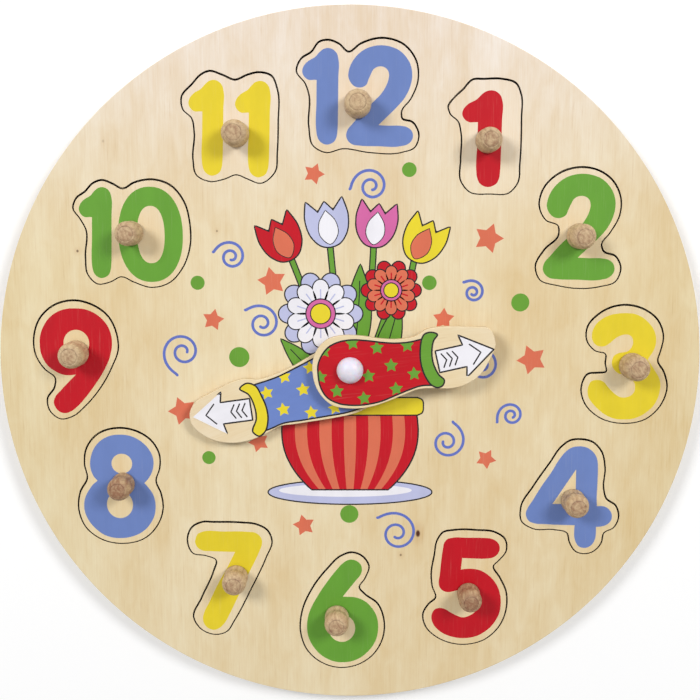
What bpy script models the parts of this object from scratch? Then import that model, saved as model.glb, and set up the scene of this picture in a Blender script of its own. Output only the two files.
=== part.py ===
"""Wooden clock puzzle.

A round board of two glued sheets of plywood lies face up. Twelve number blocks are sawn out of
the upper sheet, and each lifts straight out by its turned knob. Two wooden hands turn freely
round a stud at the middle, under a domed cap.

The origin is at the middle of the underside, +Z is up, and the twelve is toward +Y.
Lengths are in metres.
"""
import math

import bmesh
import bpy
import numpy as np

# Board: the face sheet is glued on the backing sheet
BACKING_THICKNESS = 0.003
FACE_THICKNESS = 0.005
RIM_WIDTH = 0.0125           # wood outside the numbers
SEAT_GAP = 0.0003            # left between any two pieces that lie on or in each other

# Number blocks, sawn out of the face sheet
NUMBER_HEIGHT = 0.050        # the height that the saw lines' shares follow
NUMBER_SPACING = 0.0089      # left between two numbers, along the ring that they stand on
SAW_CUT = 0.00055            # width that the saw takes away round each block
SETTLE_SHARE = 0.35          # how far each block lies toward the six, as a share of the cut

# Knobs, each held by a screw from the back of its block
KNOB_RADIUS = 0.0057
KNOB_HEIGHT = 0.0118
SCREW_RADIUS = 0.0014
SCREW_REACH = 0.0070         # how far the screw stands out of the block
SCREW_POINT = 0.0025
SCREW_HEAD_FLARE = 0.0013    # how much wider the head is than the shank
SCREW_HEAD_HEIGHT = 0.0016

# Hands and the pivot that they turn on
HAND_THICKNESS = 0.003
MINUTE_HAND_LENGTH = 0.072
HOUR_HAND_LENGTH = 0.062
MINUTE_HAND_REST = math.radians(201.5)
HOUR_HAND_REST = math.radians(7.0)
STUD_RADIUS = 0.0030
FLANGE_WIDTH = 0.0045
FLANGE_THICKNESS = 0.0012
LOWER_WASHER_WIDTH = 0.0062
LOWER_WASHER_THICKNESS = 0.0010
UPPER_WASHER_WIDTH = 0.0047
UPPER_WASHER_THICKNESS = 0.0006
CAP_WALL = 0.0023
CAP_CROWN = 0.0020
CAP_SOCKET_DEPTH = 0.0028

# How finely round and curved edges are drawn
OUTLINE_STEP = 0.0026
BOARD_FACETS = 128
KNOB_FACETS = 16
SCREW_FACETS = 12
PIVOT_FACETS = 24
CAP_RINGS = 7
OVERRUN = 0.001              # how far a cutter runs past the face that it cuts
WELD = 0.00001               # points closer than this are one point

# Sizes that follow from those: twelve numbers share the ring, and the board goes round it
NUMBER_COUNT = 12
NUMBER_RING_RADIUS = NUMBER_COUNT * (NUMBER_HEIGHT + NUMBER_SPACING) / math.tau
BOARD_RADIUS = NUMBER_RING_RADIUS + NUMBER_HEIGHT / 2 + RIM_WIDTH
BLOCK_SETTLE = SETTLE_SHARE * SAW_CUT
SCREW_LENGTH = FACE_THICKNESS + SCREW_REACH
SCREW_HEAD_RADIUS = SCREW_RADIUS + SCREW_HEAD_FLARE
PIVOT_HOLE_RADIUS = STUD_RADIUS + SEAT_GAP
CAP_RADIUS = PIVOT_HOLE_RADIUS + CAP_WALL
CAP_HEIGHT = CAP_SOCKET_DEPTH + CAP_CROWN

# Heights of the faces that the pieces are stacked on
FACE_BOTTOM = BACKING_THICKNESS + SEAT_GAP
FACE_TOP = FACE_BOTTOM + FACE_THICKNESS
LOWER_WASHER_BOTTOM = FACE_TOP + SEAT_GAP
MINUTE_HAND_BOTTOM = LOWER_WASHER_BOTTOM + LOWER_WASHER_THICKNESS + SEAT_GAP
UPPER_WASHER_BOTTOM = MINUTE_HAND_BOTTOM + HAND_THICKNESS + SEAT_GAP
HOUR_HAND_BOTTOM = UPPER_WASHER_BOTTOM + UPPER_WASHER_THICKNESS + SEAT_GAP
CAP_BOTTOM = HOUR_HAND_BOTTOM + HAND_THICKNESS + SEAT_GAP

# Each block's place, as shares of NUMBER_RING_RADIUS from the middle of the board
PLACE_SHARES = {
    1: (0.495, 0.86), 2: (0.86, 0.53), 3: (1.05, 0.01), 4: (0.855, -0.51),
    5: (0.455, -0.88), 6: (-0.03, -0.975), 7: (-0.47, -0.845), 8: (-0.895, -0.47),
    9: (-1.045, 0.025), 10: (-0.815, 0.505), 11: (-0.445, 0.895), 12: (0.03, 1.01),
}

# Each knob's middle, as shares of NUMBER_HEIGHT from its block's place
KNOB_SHARES = {
    1: (0.03, -0.025), 2: (-0.005, -0.07), 3: (0.055, -0.005), 4: (0.025, -0.03),
    5: (0.025, -0.05), 6: (-0.05, -0.05), 7: (0.05, 0.03), 8: (0.035, 0.03),
    9: (0.005, 0.07), 10: (-0.01, 0.01), 11: (0.055, -0.05), 12: (-0.005, -0.07),
}

# Points of the saw line round each number, clockwise from the top, as shares of
# NUMBER_HEIGHT from the block's place. A smooth curve runs through them.
SAW_LINE_SHARES = {
    1: ((-0.1, 0.47), (-0.005, 0.475), (0.145, 0.475), (0.26, 0.44), (0.305, 0.345),
        (0.31, 0.165), (0.305, -0.215), (0.29, -0.375), (0.22, -0.455), (0.065, -0.465),
        (-0.115, -0.445), (-0.185, -0.36), (-0.19, -0.175), (-0.19, 0.035), (-0.215, 0.13),
        (-0.28, 0.19), (-0.3, 0.25), (-0.25, 0.325), (-0.18, 0.39)),
    2: ((-0.01, 0.5), (0.155, 0.47), (0.275, 0.38), (0.34, 0.24), (0.335, 0.105),
        (0.255, -0.05), (0.19, -0.145), (0.21, -0.2), (0.31, -0.24), (0.36, -0.34),
        (0.32, -0.455), (0.185, -0.5), (-0.175, -0.49), (-0.325, -0.44), (-0.365, -0.33),
        (-0.295, -0.19), (-0.175, -0.06), (-0.18, 0.01), (-0.285, 0.06), (-0.345, 0.18),
        (-0.315, 0.32), (-0.185, 0.45)),
    3: ((-0.005, 0.515), (0.14, 0.48), (0.27, 0.38), (0.32, 0.24), (0.3, 0.115),
        (0.28, 0.035), (0.335, -0.06), (0.37, -0.19), (0.33, -0.34), (0.2, -0.475),
        (-0.01, -0.515), (-0.21, -0.46), (-0.34, -0.33), (-0.37, -0.2), (-0.315, -0.08),
        (-0.23, -0.07), (-0.16, -0.06), (-0.17, 0.01), (-0.17, 0.09), (-0.26, 0.12),
        (-0.335, 0.21), (-0.335, 0.32), (-0.23, 0.445), (-0.12, 0.5)),
    4: ((0.08, 0.515), (0.185, 0.49), (0.265, 0.405), (0.3, 0.27), (0.295, 0.07),
        (0.32, -0.015), (0.405, -0.08), (0.435, -0.18), (0.395, -0.28), (0.31, -0.33),
        (0.29, -0.42), (0.21, -0.505), (0.14, -0.52), (0.07, -0.5), (0.01, -0.415),
        (-0.015, -0.33), (-0.125, -0.3), (-0.315, -0.29), (-0.415, -0.225), (-0.425, -0.09),
        (-0.325, 0.09), (-0.18, 0.31), (-0.085, 0.45), (-0.01, 0.505)),
    5: ((-0.115, 0.53), (0.095, 0.53), (0.255, 0.51), (0.34, 0.45), (0.355, 0.34),
        (0.295, 0.255), (0.245, 0.2), (0.3, 0.1), (0.36, -0.03), (0.37, -0.16),
        (0.315, -0.345), (0.175, -0.485), (-0.035, -0.53), (-0.235, -0.47), (-0.35, -0.36),
        (-0.375, -0.245), (-0.32, -0.145), (-0.265, -0.095), (-0.295, 0.015),
        (-0.305, 0.12), (-0.28, 0.3), (-0.25, 0.45), (-0.205, 0.51)),
    6: ((0.08, 0.54), (0.17, 0.51), (0.235, 0.415), (0.2, 0.3), (0.15, 0.215),
        (0.2, 0.155), (0.31, 0.07), (0.37, -0.085), (0.365, -0.235), (0.28, -0.405),
        (0.13, -0.51), (-0.03, -0.535), (-0.19, -0.485), (-0.32, -0.36), (-0.375, -0.185),
        (-0.355, 0.01), (-0.27, 0.205), (-0.13, 0.395), (-0.01, 0.51)),
    7: ((-0.14, 0.525), (0.1, 0.52), (0.23, 0.505), (0.335, 0.445), (0.37, 0.355),
        (0.315, 0.195), (0.18, -0.09), (0.03, -0.38), (-0.045, -0.49), (-0.15, -0.515),
        (-0.27, -0.465), (-0.335, -0.355), (-0.26, -0.17), (-0.15, 0.075), (-0.125, 0.175),
        (-0.21, 0.215), (-0.33, 0.24), (-0.375, 0.36), (-0.33, 0.48), (-0.24, 0.525)),
    8: ((0.02, 0.525), (0.165, 0.495), (0.29, 0.41), (0.355, 0.285), (0.355, 0.17),
        (0.32, 0.05), (0.36, -0.06), (0.375, -0.19), (0.33, -0.335), (0.21, -0.465),
        (0.025, -0.515), (-0.165, -0.48), (-0.305, -0.37), (-0.365, -0.2), (-0.345, -0.045),
        (-0.28, 0.08), (-0.3, 0.2), (-0.28, 0.34), (-0.185, 0.465)),
    9: ((0.005, 0.52), (0.16, 0.48), (0.29, 0.38), (0.355, 0.23), (0.365, 0.105),
        (0.305, -0.055), (0.205, -0.23), (0.07, -0.39), (-0.045, -0.485), (-0.15, -0.51),
        (-0.245, -0.435), (-0.26, -0.33), (-0.195, -0.23), (-0.185, -0.155),
        (-0.275, -0.07), (-0.345, 0.05), (-0.355, 0.205), (-0.295, 0.37), (-0.16, 0.485)),
    10: ((-0.245, 0.45), (-0.155, 0.42), (-0.075, 0.38), (0.025, 0.43), (0.185, 0.455),
         (0.325, 0.41), (0.435, 0.28), (0.485, 0.085), (0.48, -0.115), (0.415, -0.285),
         (0.3, -0.41), (0.15, -0.45), (0, -0.405), (-0.105, -0.36), (-0.205, -0.405),
         (-0.31, -0.42), (-0.39, -0.34), (-0.405, -0.195), (-0.395, 0.045), (-0.44, 0.13),
         (-0.495, 0.215), (-0.465, 0.3), (-0.39, 0.355), (-0.32, 0.425)),
    11: ((-0.165, 0.46), (-0.055, 0.43), (0.05, 0.39), (0.155, 0.43), (0.25, 0.45),
         (0.355, 0.42), (0.4, 0.315), (0.405, 0.045), (0.395, -0.195), (0.375, -0.36),
         (0.25, -0.455), (0.145, -0.42), (0.05, -0.385), (-0.05, -0.42), (-0.17, -0.44),
         (-0.285, -0.385), (-0.31, -0.255), (-0.295, -0.035), (-0.315, 0.08),
         (-0.385, 0.15), (-0.395, 0.25), (-0.305, 0.355), (-0.225, 0.435)),
    12: ((-0.25, 0.45), (-0.16, 0.42), (-0.08, 0.355), (0.02, 0.42), (0.2, 0.465),
         (0.38, 0.41), (0.48, 0.28), (0.495, 0.13), (0.435, -0.025), (0.36, -0.13),
         (0.365, -0.18), (0.45, -0.21), (0.505, -0.31), (0.475, -0.415), (0.36, -0.46),
         (0.09, -0.46), (-0.13, -0.43), (-0.27, -0.46), (-0.375, -0.405), (-0.41, -0.25),
         (-0.41, 0.02), (-0.435, 0.095), (-0.51, 0.2), (-0.47, 0.3), (-0.385, 0.355),
         (-0.32, 0.435)),
}

# Outlines of the hands, as shares of each hand's length from the pivot. The hand points
# along +X and its outline runs clockwise from the tip.
MINUTE_HAND_SHARES = (
    (1.0, -0.04), (0.985, -0.1), (0.925, -0.15), (0.835, -0.165), (0.75, -0.175),
    (0.665, -0.18), (0.6, -0.17), (0.535, -0.14), (0.43, -0.13), (0.32, -0.135),
    (0.22, -0.15), (0.11, -0.165), (0, -0.175), (-0.11, -0.16), (-0.185, -0.095),
    (-0.21, 0.01), (-0.185, 0.14), (-0.085, 0.235), (0.04, 0.261), (0.195, 0.242),
    (0.32, 0.215), (0.43, 0.19), (0.515, 0.17), (0.6, 0.18), (0.695, 0.185),
    (0.79, 0.17), (0.88, 0.13), (0.96, 0.055),
)
HOUR_HAND_SHARES = (
    (1.0, 0.065), (0.945, -0.05), (0.87, -0.142), (0.775, -0.193), (0.66, -0.208),
    (0.55, -0.193), (0.45, -0.187), (0.355, -0.21), (0.24, -0.242), (0.115, -0.268),
    (-0.015, -0.266), (-0.155, -0.222), (-0.24, -0.1), (-0.255, 0.01), (-0.22, 0.145),
    (-0.13, 0.225), (0, 0.24), (0.115, 0.22), (0.225, 0.19), (0.355, 0.17),
    (0.475, 0.18), (0.55, 0.215), (0.63, 0.22), (0.74, 0.21), (0.87, 0.19), (0.965, 0.17),
)

# The turned knob, as shares of KNOB_RADIUS and KNOB_HEIGHT, from the top down
KNOB_PROFILE_SHARES = (
    (0.55, 1.0), (0.75, 0.955), (0.9, 0.85), (0.98, 0.68), (1.0, 0.45), (0.97, 0.2),
    (0.9, 0.0),
)

# Colours as red, green and blue light, then roughness
PLYWOOD = ((0.80, 0.64, 0.41), 0.55)
TURNED_WOOD = ((0.62, 0.44, 0.28), 0.60)
RED_PAINT = ((0.60, 0.01, 0.03), 0.40)
BLUE_PAINT = ((0.16, 0.26, 0.60), 0.40)
WHITE_PLASTIC = ((0.80, 0.80, 0.80), 0.30)
STEEL = ((0.55, 0.55, 0.55), 0.35)


def new_material(name, finish, metallic=0.0):
    """Plain surface of one colour and roughness."""
    colour, roughness = finish
    material = bpy.data.materials.new(name)
    material.use_nodes = True
    shader = material.node_tree.nodes["Principled BSDF"]
    shader.inputs["Base Color"].default_value = (*colour, 1.0)
    shader.inputs["Roughness"].default_value = roughness
    shader.inputs["Metallic"].default_value = metallic
    return material


def link(name, mesh, collection, material=None, location=(0, 0, 0), angle=0.0, parent=None):
    """Object of that mesh, placed and parented, with its material."""
    obj = bpy.data.objects.new(name, mesh)
    obj.location = location
    obj.rotation_euler = (0, 0, angle)
    obj.parent = parent
    if material:
        mesh.materials.append(material)
    collection.objects.link(obj)
    return obj


def circle(radius, facets):
    """Points of a circle round the origin, counter-clockwise."""
    turn = np.arange(facets) * math.tau / facets
    return radius * np.column_stack([np.cos(turn), np.sin(turn)])


def smooth_loop(points):
    """Closed smooth curve through the points, turned counter-clockwise.

    Each stretch is a cubic whose end slopes are those of the parabola through an end point
    and its two neighbours. Long stretches are drawn in more steps than short ones.
    """
    points = np.array(points, dtype=float)[::-1]
    ahead = np.roll(points, -1, axis=0)
    behind = np.roll(points, 1, axis=0)
    chord = np.linalg.norm(ahead - points, axis=1)[:, None]
    last_chord = np.roll(chord, 1, axis=0)
    slope = (last_chord * (ahead - points) / chord + chord * (points - behind) / last_chord)
    slope /= chord + last_chord
    end_slope = np.roll(slope, -1, axis=0)
    stretches = []
    for start, end, leave, arrive, length in zip(points, ahead, slope, end_slope, chord):
        steps = max(1, round(float(length[0]) / OUTLINE_STEP))
        t = (np.arange(steps) / steps)[:, None]
        stretches.append((2 * t**3 - 3 * t**2 + 1) * start + (3 * t**2 - 2 * t**3) * end
                         + length * ((t**3 - 2 * t**2 + t) * leave + (t**3 - t**2) * arrive))
    return np.vstack(stretches)


def grown(loop, distance):
    """The counter-clockwise loop moved outward by the distance, or inward if it is negative."""
    along = np.roll(loop, -1, axis=0) - np.roll(loop, 1, axis=0)
    along /= np.linalg.norm(along, axis=1)[:, None]
    return loop + distance * np.column_stack([along[:, 1], -along[:, 0]])


def sheet_mesh(name, loops, thickness):
    """Flat piece with upright sides, its underside at zero. Loops inside the first are holes."""
    curve = bpy.data.curves.new(name, "CURVE")
    curve.dimensions = "2D"
    curve.fill_mode = "BOTH"
    curve.extrude = thickness / 2
    for loop in loops:
        spline = curve.splines.new("POLY")
        spline.points.add(len(loop) - 1)
        flat = np.column_stack([loop, np.zeros(len(loop)), np.ones(len(loop))])
        spline.points.foreach_set("co", flat.ravel())
        spline.use_cyclic_u = True
    outline = bpy.data.objects.new(name, curve)
    bpy.context.scene.collection.objects.link(outline)
    evaluated = outline.evaluated_get(bpy.context.evaluated_depsgraph_get())
    mesh = bpy.data.meshes.new_from_object(evaluated)
    bpy.data.objects.remove(outline)
    bpy.data.curves.remove(curve)
    body = bmesh.new()
    body.from_mesh(mesh)
    bmesh.ops.remove_doubles(body, verts=body.verts, dist=WELD)
    bmesh.ops.translate(body, verts=body.verts, vec=(0, 0, thickness / 2))
    bmesh.ops.recalc_face_normals(body, faces=body.faces)
    body.to_mesh(mesh)
    body.free()
    return mesh


def turned_mesh(name, profile, facets):
    """Solid of revolution round Z. The profile's (radius, height) points run from the top of
    the axis down the outer side, and back to the axis.
    """
    mesh = bpy.data.meshes.new(name)
    points = [(radius, 0, height) for radius, height in profile]
    mesh.from_pydata(points, [(i, i + 1) for i in range(len(points) - 1)], [])
    wire = bpy.data.objects.new(name, mesh)
    bpy.context.scene.collection.objects.link(wire)
    screw = wire.modifiers.new("turn", "SCREW")
    screw.steps = facets
    screw.render_steps = facets
    screw.use_merge_vertices = True
    screw.merge_threshold = WELD
    evaluated = wire.evaluated_get(bpy.context.evaluated_depsgraph_get())
    solid = bpy.data.meshes.new_from_object(evaluated)
    solid.name = name
    bpy.data.objects.remove(wire)
    bpy.data.meshes.remove(mesh)
    solid.shade_smooth()
    solid.set_sharp_from_angle(angle=math.radians(35))
    return solid


def cut(obj, cutter):
    """Take the cutter's shape out of the object."""
    cutter.hide_render = True
    cutter.display_type = "WIRE"
    boolean = obj.modifiers.new("cut_" + cutter.name, "BOOLEAN")
    boolean.operation = "DIFFERENCE"
    boolean.solver = "EXACT"
    boolean.object = cutter


def number_place(number):
    """Middle of a number block on the board."""
    return np.array(PLACE_SHARES[number]) * NUMBER_RING_RADIUS


def saw_line(number):
    """Middle of the saw cut round a number, from the number's place."""
    return smooth_loop(np.array(SAW_LINE_SHARES[number]) * NUMBER_HEIGHT)


def make_backing_board(parts, cutters, wood):
    """Lower sheet: the floor of the cut-outs, bored for the stud and its flange."""
    loops = [circle(BOARD_RADIUS, BOARD_FACETS),
             circle(PIVOT_HOLE_RADIUS, PIVOT_FACETS)]
    board = link("backing_board", sheet_mesh("backing_board", loops, BACKING_THICKNESS),
                 parts, wood)
    recess_top = FLANGE_THICKNESS + 2 * SEAT_GAP
    recess_radius = STUD_RADIUS + FLANGE_WIDTH + SEAT_GAP
    recess = turned_mesh("flange_recess", [
        (0, recess_top), (recess_radius, recess_top), (recess_radius, -OVERRUN),
        (0, -OVERRUN)], PIVOT_FACETS)
    cut(board, link("flange_recess", recess, cutters))


def make_face_board(parts, wood):
    """Upper sheet with its twelve cut-outs and the stud's hole."""
    loops = [circle(BOARD_RADIUS, BOARD_FACETS),
             circle(PIVOT_HOLE_RADIUS, PIVOT_FACETS)]
    for number in SAW_LINE_SHARES:
        loops.append(number_place(number) + grown(saw_line(number), SAW_CUT / 2))
    link("face_board", sheet_mesh("face_board", loops, FACE_THICKNESS), parts, wood,
         location=(0, 0, FACE_BOTTOM))


def make_block(number, lift, parts, cutters, wood):
    """Number block with a countersunk screw hole from its underside."""
    name = f"number_{number}_block"
    loop = grown(saw_line(number), -SAW_CUT / 2)
    block = link(name, sheet_mesh(name, [loop], FACE_THICKNESS), parts, wood, parent=lift)
    hole_radius = SCREW_RADIUS + SEAT_GAP
    head_radius = SCREW_HEAD_RADIUS + SEAT_GAP
    head_top = 2 * SEAT_GAP + SCREW_HEAD_HEIGHT
    cutter_name = f"number_{number}_screw_hole"
    hole = turned_mesh(cutter_name, [
        (0, FACE_THICKNESS + OVERRUN), (hole_radius, FACE_THICKNESS + OVERRUN),
        (hole_radius, head_top), (head_radius, SEAT_GAP), (head_radius, -OVERRUN),
        (0, -OVERRUN)], SCREW_FACETS)
    x, y = np.array(KNOB_SHARES[number]) * NUMBER_HEIGHT
    cut(block, link(cutter_name, hole, cutters, location=(x, y, 0), parent=lift))


def make_knob(number, lift, parts, wood):
    """Turned peg knob, bored from below for its screw."""
    name = f"number_{number}_knob"
    bore_radius = SCREW_RADIUS + SEAT_GAP
    knob_bottom = FACE_THICKNESS + SEAT_GAP
    bore_depth = SEAT_GAP + SCREW_LENGTH + SEAT_GAP - knob_bottom
    outside = [(r * KNOB_RADIUS, z * KNOB_HEIGHT) for r, z in KNOB_PROFILE_SHARES]
    profile = [(0, KNOB_HEIGHT), *outside, (bore_radius, 0), (bore_radius, bore_depth),
               (0, bore_depth)]
    x, y = np.array(KNOB_SHARES[number]) * NUMBER_HEIGHT
    link(name, turned_mesh(name, profile, KNOB_FACETS), parts, wood,
         location=(x, y, knob_bottom), parent=lift)


def make_screw(number, lift, parts, steel):
    """Countersunk wood screw, its head just inside the block's underside."""
    name = f"number_{number}_screw"
    profile = [(0, SCREW_LENGTH), (SCREW_RADIUS, SCREW_LENGTH - SCREW_POINT),
               (SCREW_RADIUS, SCREW_HEAD_HEIGHT), (SCREW_HEAD_RADIUS, 0), (0, 0)]
    x, y = np.array(KNOB_SHARES[number]) * NUMBER_HEIGHT
    link(name, turned_mesh(name, profile, SCREW_FACETS), parts, steel,
         location=(x, y, SEAT_GAP), parent=lift)


def make_number(number, parts, cutters, wood, knob_wood, steel):
    """Block, knob and screw on one empty, which is where they lift from."""
    x, y = number_place(number)
    lift = bpy.data.objects.new(f"number_{number}_lift", None)
    lift.location = (x, y - BLOCK_SETTLE, FACE_BOTTOM)
    parts.objects.link(lift)
    make_block(number, lift, parts, cutters, wood)
    make_knob(number, lift, parts, knob_wood)
    make_screw(number, lift, parts, steel)


def make_hand(name, shares, length, bottom, rest, parts, paint):
    """Flat wooden hand on the pivot, turned to where it rests."""
    outline = smooth_loop(np.array(shares) * length)
    hole = circle(PIVOT_HOLE_RADIUS, PIVOT_FACETS)
    link(name, sheet_mesh(name, [outline, hole], HAND_THICKNESS), parts, paint,
         location=(0, 0, bottom), angle=rest)


def make_washer(name, width, thickness, bottom, parts, plastic):
    """Flat ring round the stud."""
    loops = [circle(PIVOT_HOLE_RADIUS + width, PIVOT_FACETS),
             circle(PIVOT_HOLE_RADIUS, PIVOT_FACETS)]
    link(name, sheet_mesh(name, loops, thickness), parts, plastic, location=(0, 0, bottom))


def make_stud(parts, plastic):
    """Stud with its flange let into the back, up through the stack into the cap."""
    top = CAP_BOTTOM + CAP_SOCKET_DEPTH - SEAT_GAP
    flange_top = SEAT_GAP + FLANGE_THICKNESS
    flange_radius = STUD_RADIUS + FLANGE_WIDTH
    profile = [(0, top), (STUD_RADIUS, top), (STUD_RADIUS, flange_top),
               (flange_radius, flange_top), (flange_radius, SEAT_GAP), (0, SEAT_GAP)]
    link("pivot_stud", turned_mesh("pivot_stud", profile, PIVOT_FACETS), parts, plastic)


def make_cap(parts, plastic):
    """Domed cap, a quarter ellipse in section, with a socket for the stud."""
    turn = [math.pi / 2 * (1 - i / CAP_RINGS) for i in range(1, CAP_RINGS + 1)]
    dome = [(CAP_RADIUS * math.cos(a), CAP_HEIGHT * math.sin(a)) for a in turn]
    profile = [(0, CAP_HEIGHT), *dome, (PIVOT_HOLE_RADIUS, 0),
               (PIVOT_HOLE_RADIUS, CAP_SOCKET_DEPTH), (0, CAP_SOCKET_DEPTH)]
    link("pivot_cap", turned_mesh("pivot_cap", profile, PIVOT_FACETS), parts, plastic,
         location=(0, 0, CAP_BOTTOM))


def main():
    """Clear the scene and make every piece."""
    for obj in list(bpy.data.objects):
        bpy.data.objects.remove(obj)
    parts = bpy.data.collections.new("clock_puzzle")
    cutters = bpy.data.collections.new("cutters")
    for collection in (parts, cutters):
        bpy.context.scene.collection.children.link(collection)

    wood = new_material("plywood", PLYWOOD)
    knob_wood = new_material("turned_wood", TURNED_WOOD)
    plastic = new_material("white_plastic", WHITE_PLASTIC)
    steel = new_material("steel", STEEL, metallic=1.0)
    red = new_material("red_hand", RED_PAINT)
    blue = new_material("blue_hand", BLUE_PAINT)

    make_backing_board(parts, cutters, wood)
    make_face_board(parts, wood)
    for number in SAW_LINE_SHARES:
        make_number(number, parts, cutters, wood, knob_wood, steel)
    make_stud(parts, plastic)
    make_washer("lower_washer", LOWER_WASHER_WIDTH, LOWER_WASHER_THICKNESS,
                LOWER_WASHER_BOTTOM, parts, plastic)
    make_hand("minute_hand", MINUTE_HAND_SHARES, MINUTE_HAND_LENGTH, MINUTE_HAND_BOTTOM,
              MINUTE_HAND_REST, parts, blue)
    make_washer("upper_washer", UPPER_WASHER_WIDTH, UPPER_WASHER_THICKNESS,
                UPPER_WASHER_BOTTOM, parts, plastic)
    make_hand("hour_hand", HOUR_HAND_SHARES, HOUR_HAND_LENGTH, HOUR_HAND_BOTTOM,
              HOUR_HAND_REST, parts, red)
    make_cap(parts, plastic)


main()
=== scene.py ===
"""Wooden clock puzzle, in metres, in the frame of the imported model.

The file follows the puzzle as it is put together, from the backing sheet up to the cap that
holds the hands, and then the table it lies on, the lamps and the camera.
"""
import math

import bpy
import numpy as np
from mathutils.geometry import tessellate_polygon
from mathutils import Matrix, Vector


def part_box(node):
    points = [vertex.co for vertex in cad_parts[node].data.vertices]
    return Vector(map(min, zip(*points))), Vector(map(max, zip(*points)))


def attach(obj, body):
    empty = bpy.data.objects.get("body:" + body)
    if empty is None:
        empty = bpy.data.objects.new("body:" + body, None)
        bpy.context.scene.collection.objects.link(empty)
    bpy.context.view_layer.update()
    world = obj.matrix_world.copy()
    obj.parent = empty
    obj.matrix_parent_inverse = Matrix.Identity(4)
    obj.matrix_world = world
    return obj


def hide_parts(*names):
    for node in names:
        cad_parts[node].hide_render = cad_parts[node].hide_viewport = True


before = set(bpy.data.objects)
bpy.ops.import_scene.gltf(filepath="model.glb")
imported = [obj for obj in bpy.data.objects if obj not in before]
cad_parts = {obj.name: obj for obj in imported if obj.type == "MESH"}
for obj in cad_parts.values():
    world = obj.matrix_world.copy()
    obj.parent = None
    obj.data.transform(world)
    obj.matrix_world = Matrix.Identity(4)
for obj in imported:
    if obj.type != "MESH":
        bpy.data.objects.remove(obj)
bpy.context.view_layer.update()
MM = 0.001

# Backing sheet
# A round of three-ply wood that closes the cut-outs from below. It is glued under the face
# sheet, bored for the pivot and let in for the pivot's flange, and its rim is sanded round.

BACKING_BOTTOM = 0.0
BACKING_TOP = 3.27 * MM
BOARD_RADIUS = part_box("face_board")[1].x
PIVOT_HOLE_RADIUS = 3.3 * MM
FLANGE_RECESS_RADIUS = 7.8 * MM
FLANGE_RECESS_TOP = 1.8 * MM
RIM_EASE = 0.45 * MM
RIM_POINTS = 384
HOLE_POINTS = 48
EASE_STEPS = 4
WOOD_GLOSS = 0.28
PLY_THICKNESS = 1.09 * MM
LINEN = (242, 230, 206)
HONEY = (222, 196, 153)
GLUE = (120, 82, 48)
PORE_TAN = (178, 140, 96)
# How far inside the sheet its two faces are read, and how far a glue line shows, in plies
FACE_MARGIN = 0.12
GLUE_SPAN = 0.09
# The wood's patterns: cycles per metre across, along and through the sheet, detail and bend,
# and what each weighs in the plywood's tone
BLOOM = ((24, 9, 60), 2.0)
MOTTLE = ((170, 60, 170), 3.0, 0.5)
STREAK = ((170, 6, 170), 4.0, 0.35)
HAIRLINE = ((620, 13, 620), 3.0)
FIBRE = ((1900, 60, 1900), 3.0)
PLYWOOD_WEIGHTS = (1.0, 0.55, 0.20, 0.11, 0.40)
# What the colour is multiplied by: painted light, warmer toward the six and paler and bluer
# toward the twelve; painted shade toward the sides; and the plies' own darker tone on those
# whose grain runs across
LOWER_PAINTED_LIGHT = (0.99, 0.98, 0.885, 1)
UPPER_PAINTED_LIGHT = (1.03, 1.07, 1.31, 1)
SIDE_PAINTED_SHADE = (0.96, 0.955, 0.90, 1)
CROSS_CAST = (0.80, 0.70, 0.58, 1)
# Where the painted light toward the twelve and the painted shade at the sides come in, in
# metres from the pivot
UPPER_LIGHT_SPAN = (0.03, 0.17)
SIDE_SHADE_SPAN = (0.07, 0.16)
# How far in from its edge a face's flat part starts, in eases
FLAT_START = 1.3


def light(colour):
    """Linear light of a colour given as 0 to 255 red, green and blue on a screen."""
    share = np.array(colour) / 255
    linear = np.where(share <= 0.04045, share / 12.92, ((share + 0.055) / 1.055) ** 2.4)
    return (*linear.tolist(), 1.0)


def circle(radius, points, middle=(0.0, 0.0)):
    """Points of a circle, counter-clockwise: middle + radius (cos a, sin a)."""
    turn = np.arange(points) * math.tau / points
    return np.array(middle) + radius * np.column_stack([np.cos(turn), np.sin(turn)])


def clockwise(loop):
    """Whether the loop's area, half the sum of x dy - y dx, is negative."""
    x, y = loop.T
    return np.sum(x * np.roll(y, -1) - y * np.roll(x, -1)) < 0


def anticlockwise(loop):
    """The loop, turned round if it is clockwise."""
    return loop[::-1] if clockwise(loop) else loop


def outward(loop):
    """Unit normals of a counter-clockwise loop: the step from the point before to the point
    after, turned a quarter turn clockwise."""
    along = np.roll(loop, -1, axis=0) - np.roll(loop, 1, axis=0)
    along /= np.maximum(np.linalg.norm(along, axis=1), 1e-9)[:, None]
    return np.column_stack([along[:, 1], -along[:, 0]])


def quads_between(rows, columns):
    """Quads between neighbouring rows of a grid of points whose rows close on themselves."""
    here = np.arange((rows - 1) * columns).reshape(rows - 1, columns)
    ahead = np.roll(here, -1, axis=1)
    return np.stack([here, here + columns, ahead + columns, ahead], axis=-1).reshape(-1, 4)


def carried(loop, profile, inward):
    """Grid of points and its quads: the loop carried down a profile of (inset, height) pairs.
    Point (i, j) is loop i moved inset j into the wood, at height j."""
    inset, height = np.array(profile).T
    normal = -outward(loop) if inward else outward(loop)
    flat = loop[None, :, :] + inset[:, None, None] * normal[None, :, :]
    points = np.dstack([flat, np.broadcast_to(height[:, None], flat.shape[:2])])
    quads = quads_between(*flat.shape[:2])
    return points.reshape(-1, 3), quads if inward else quads[:, ::-1]


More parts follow.
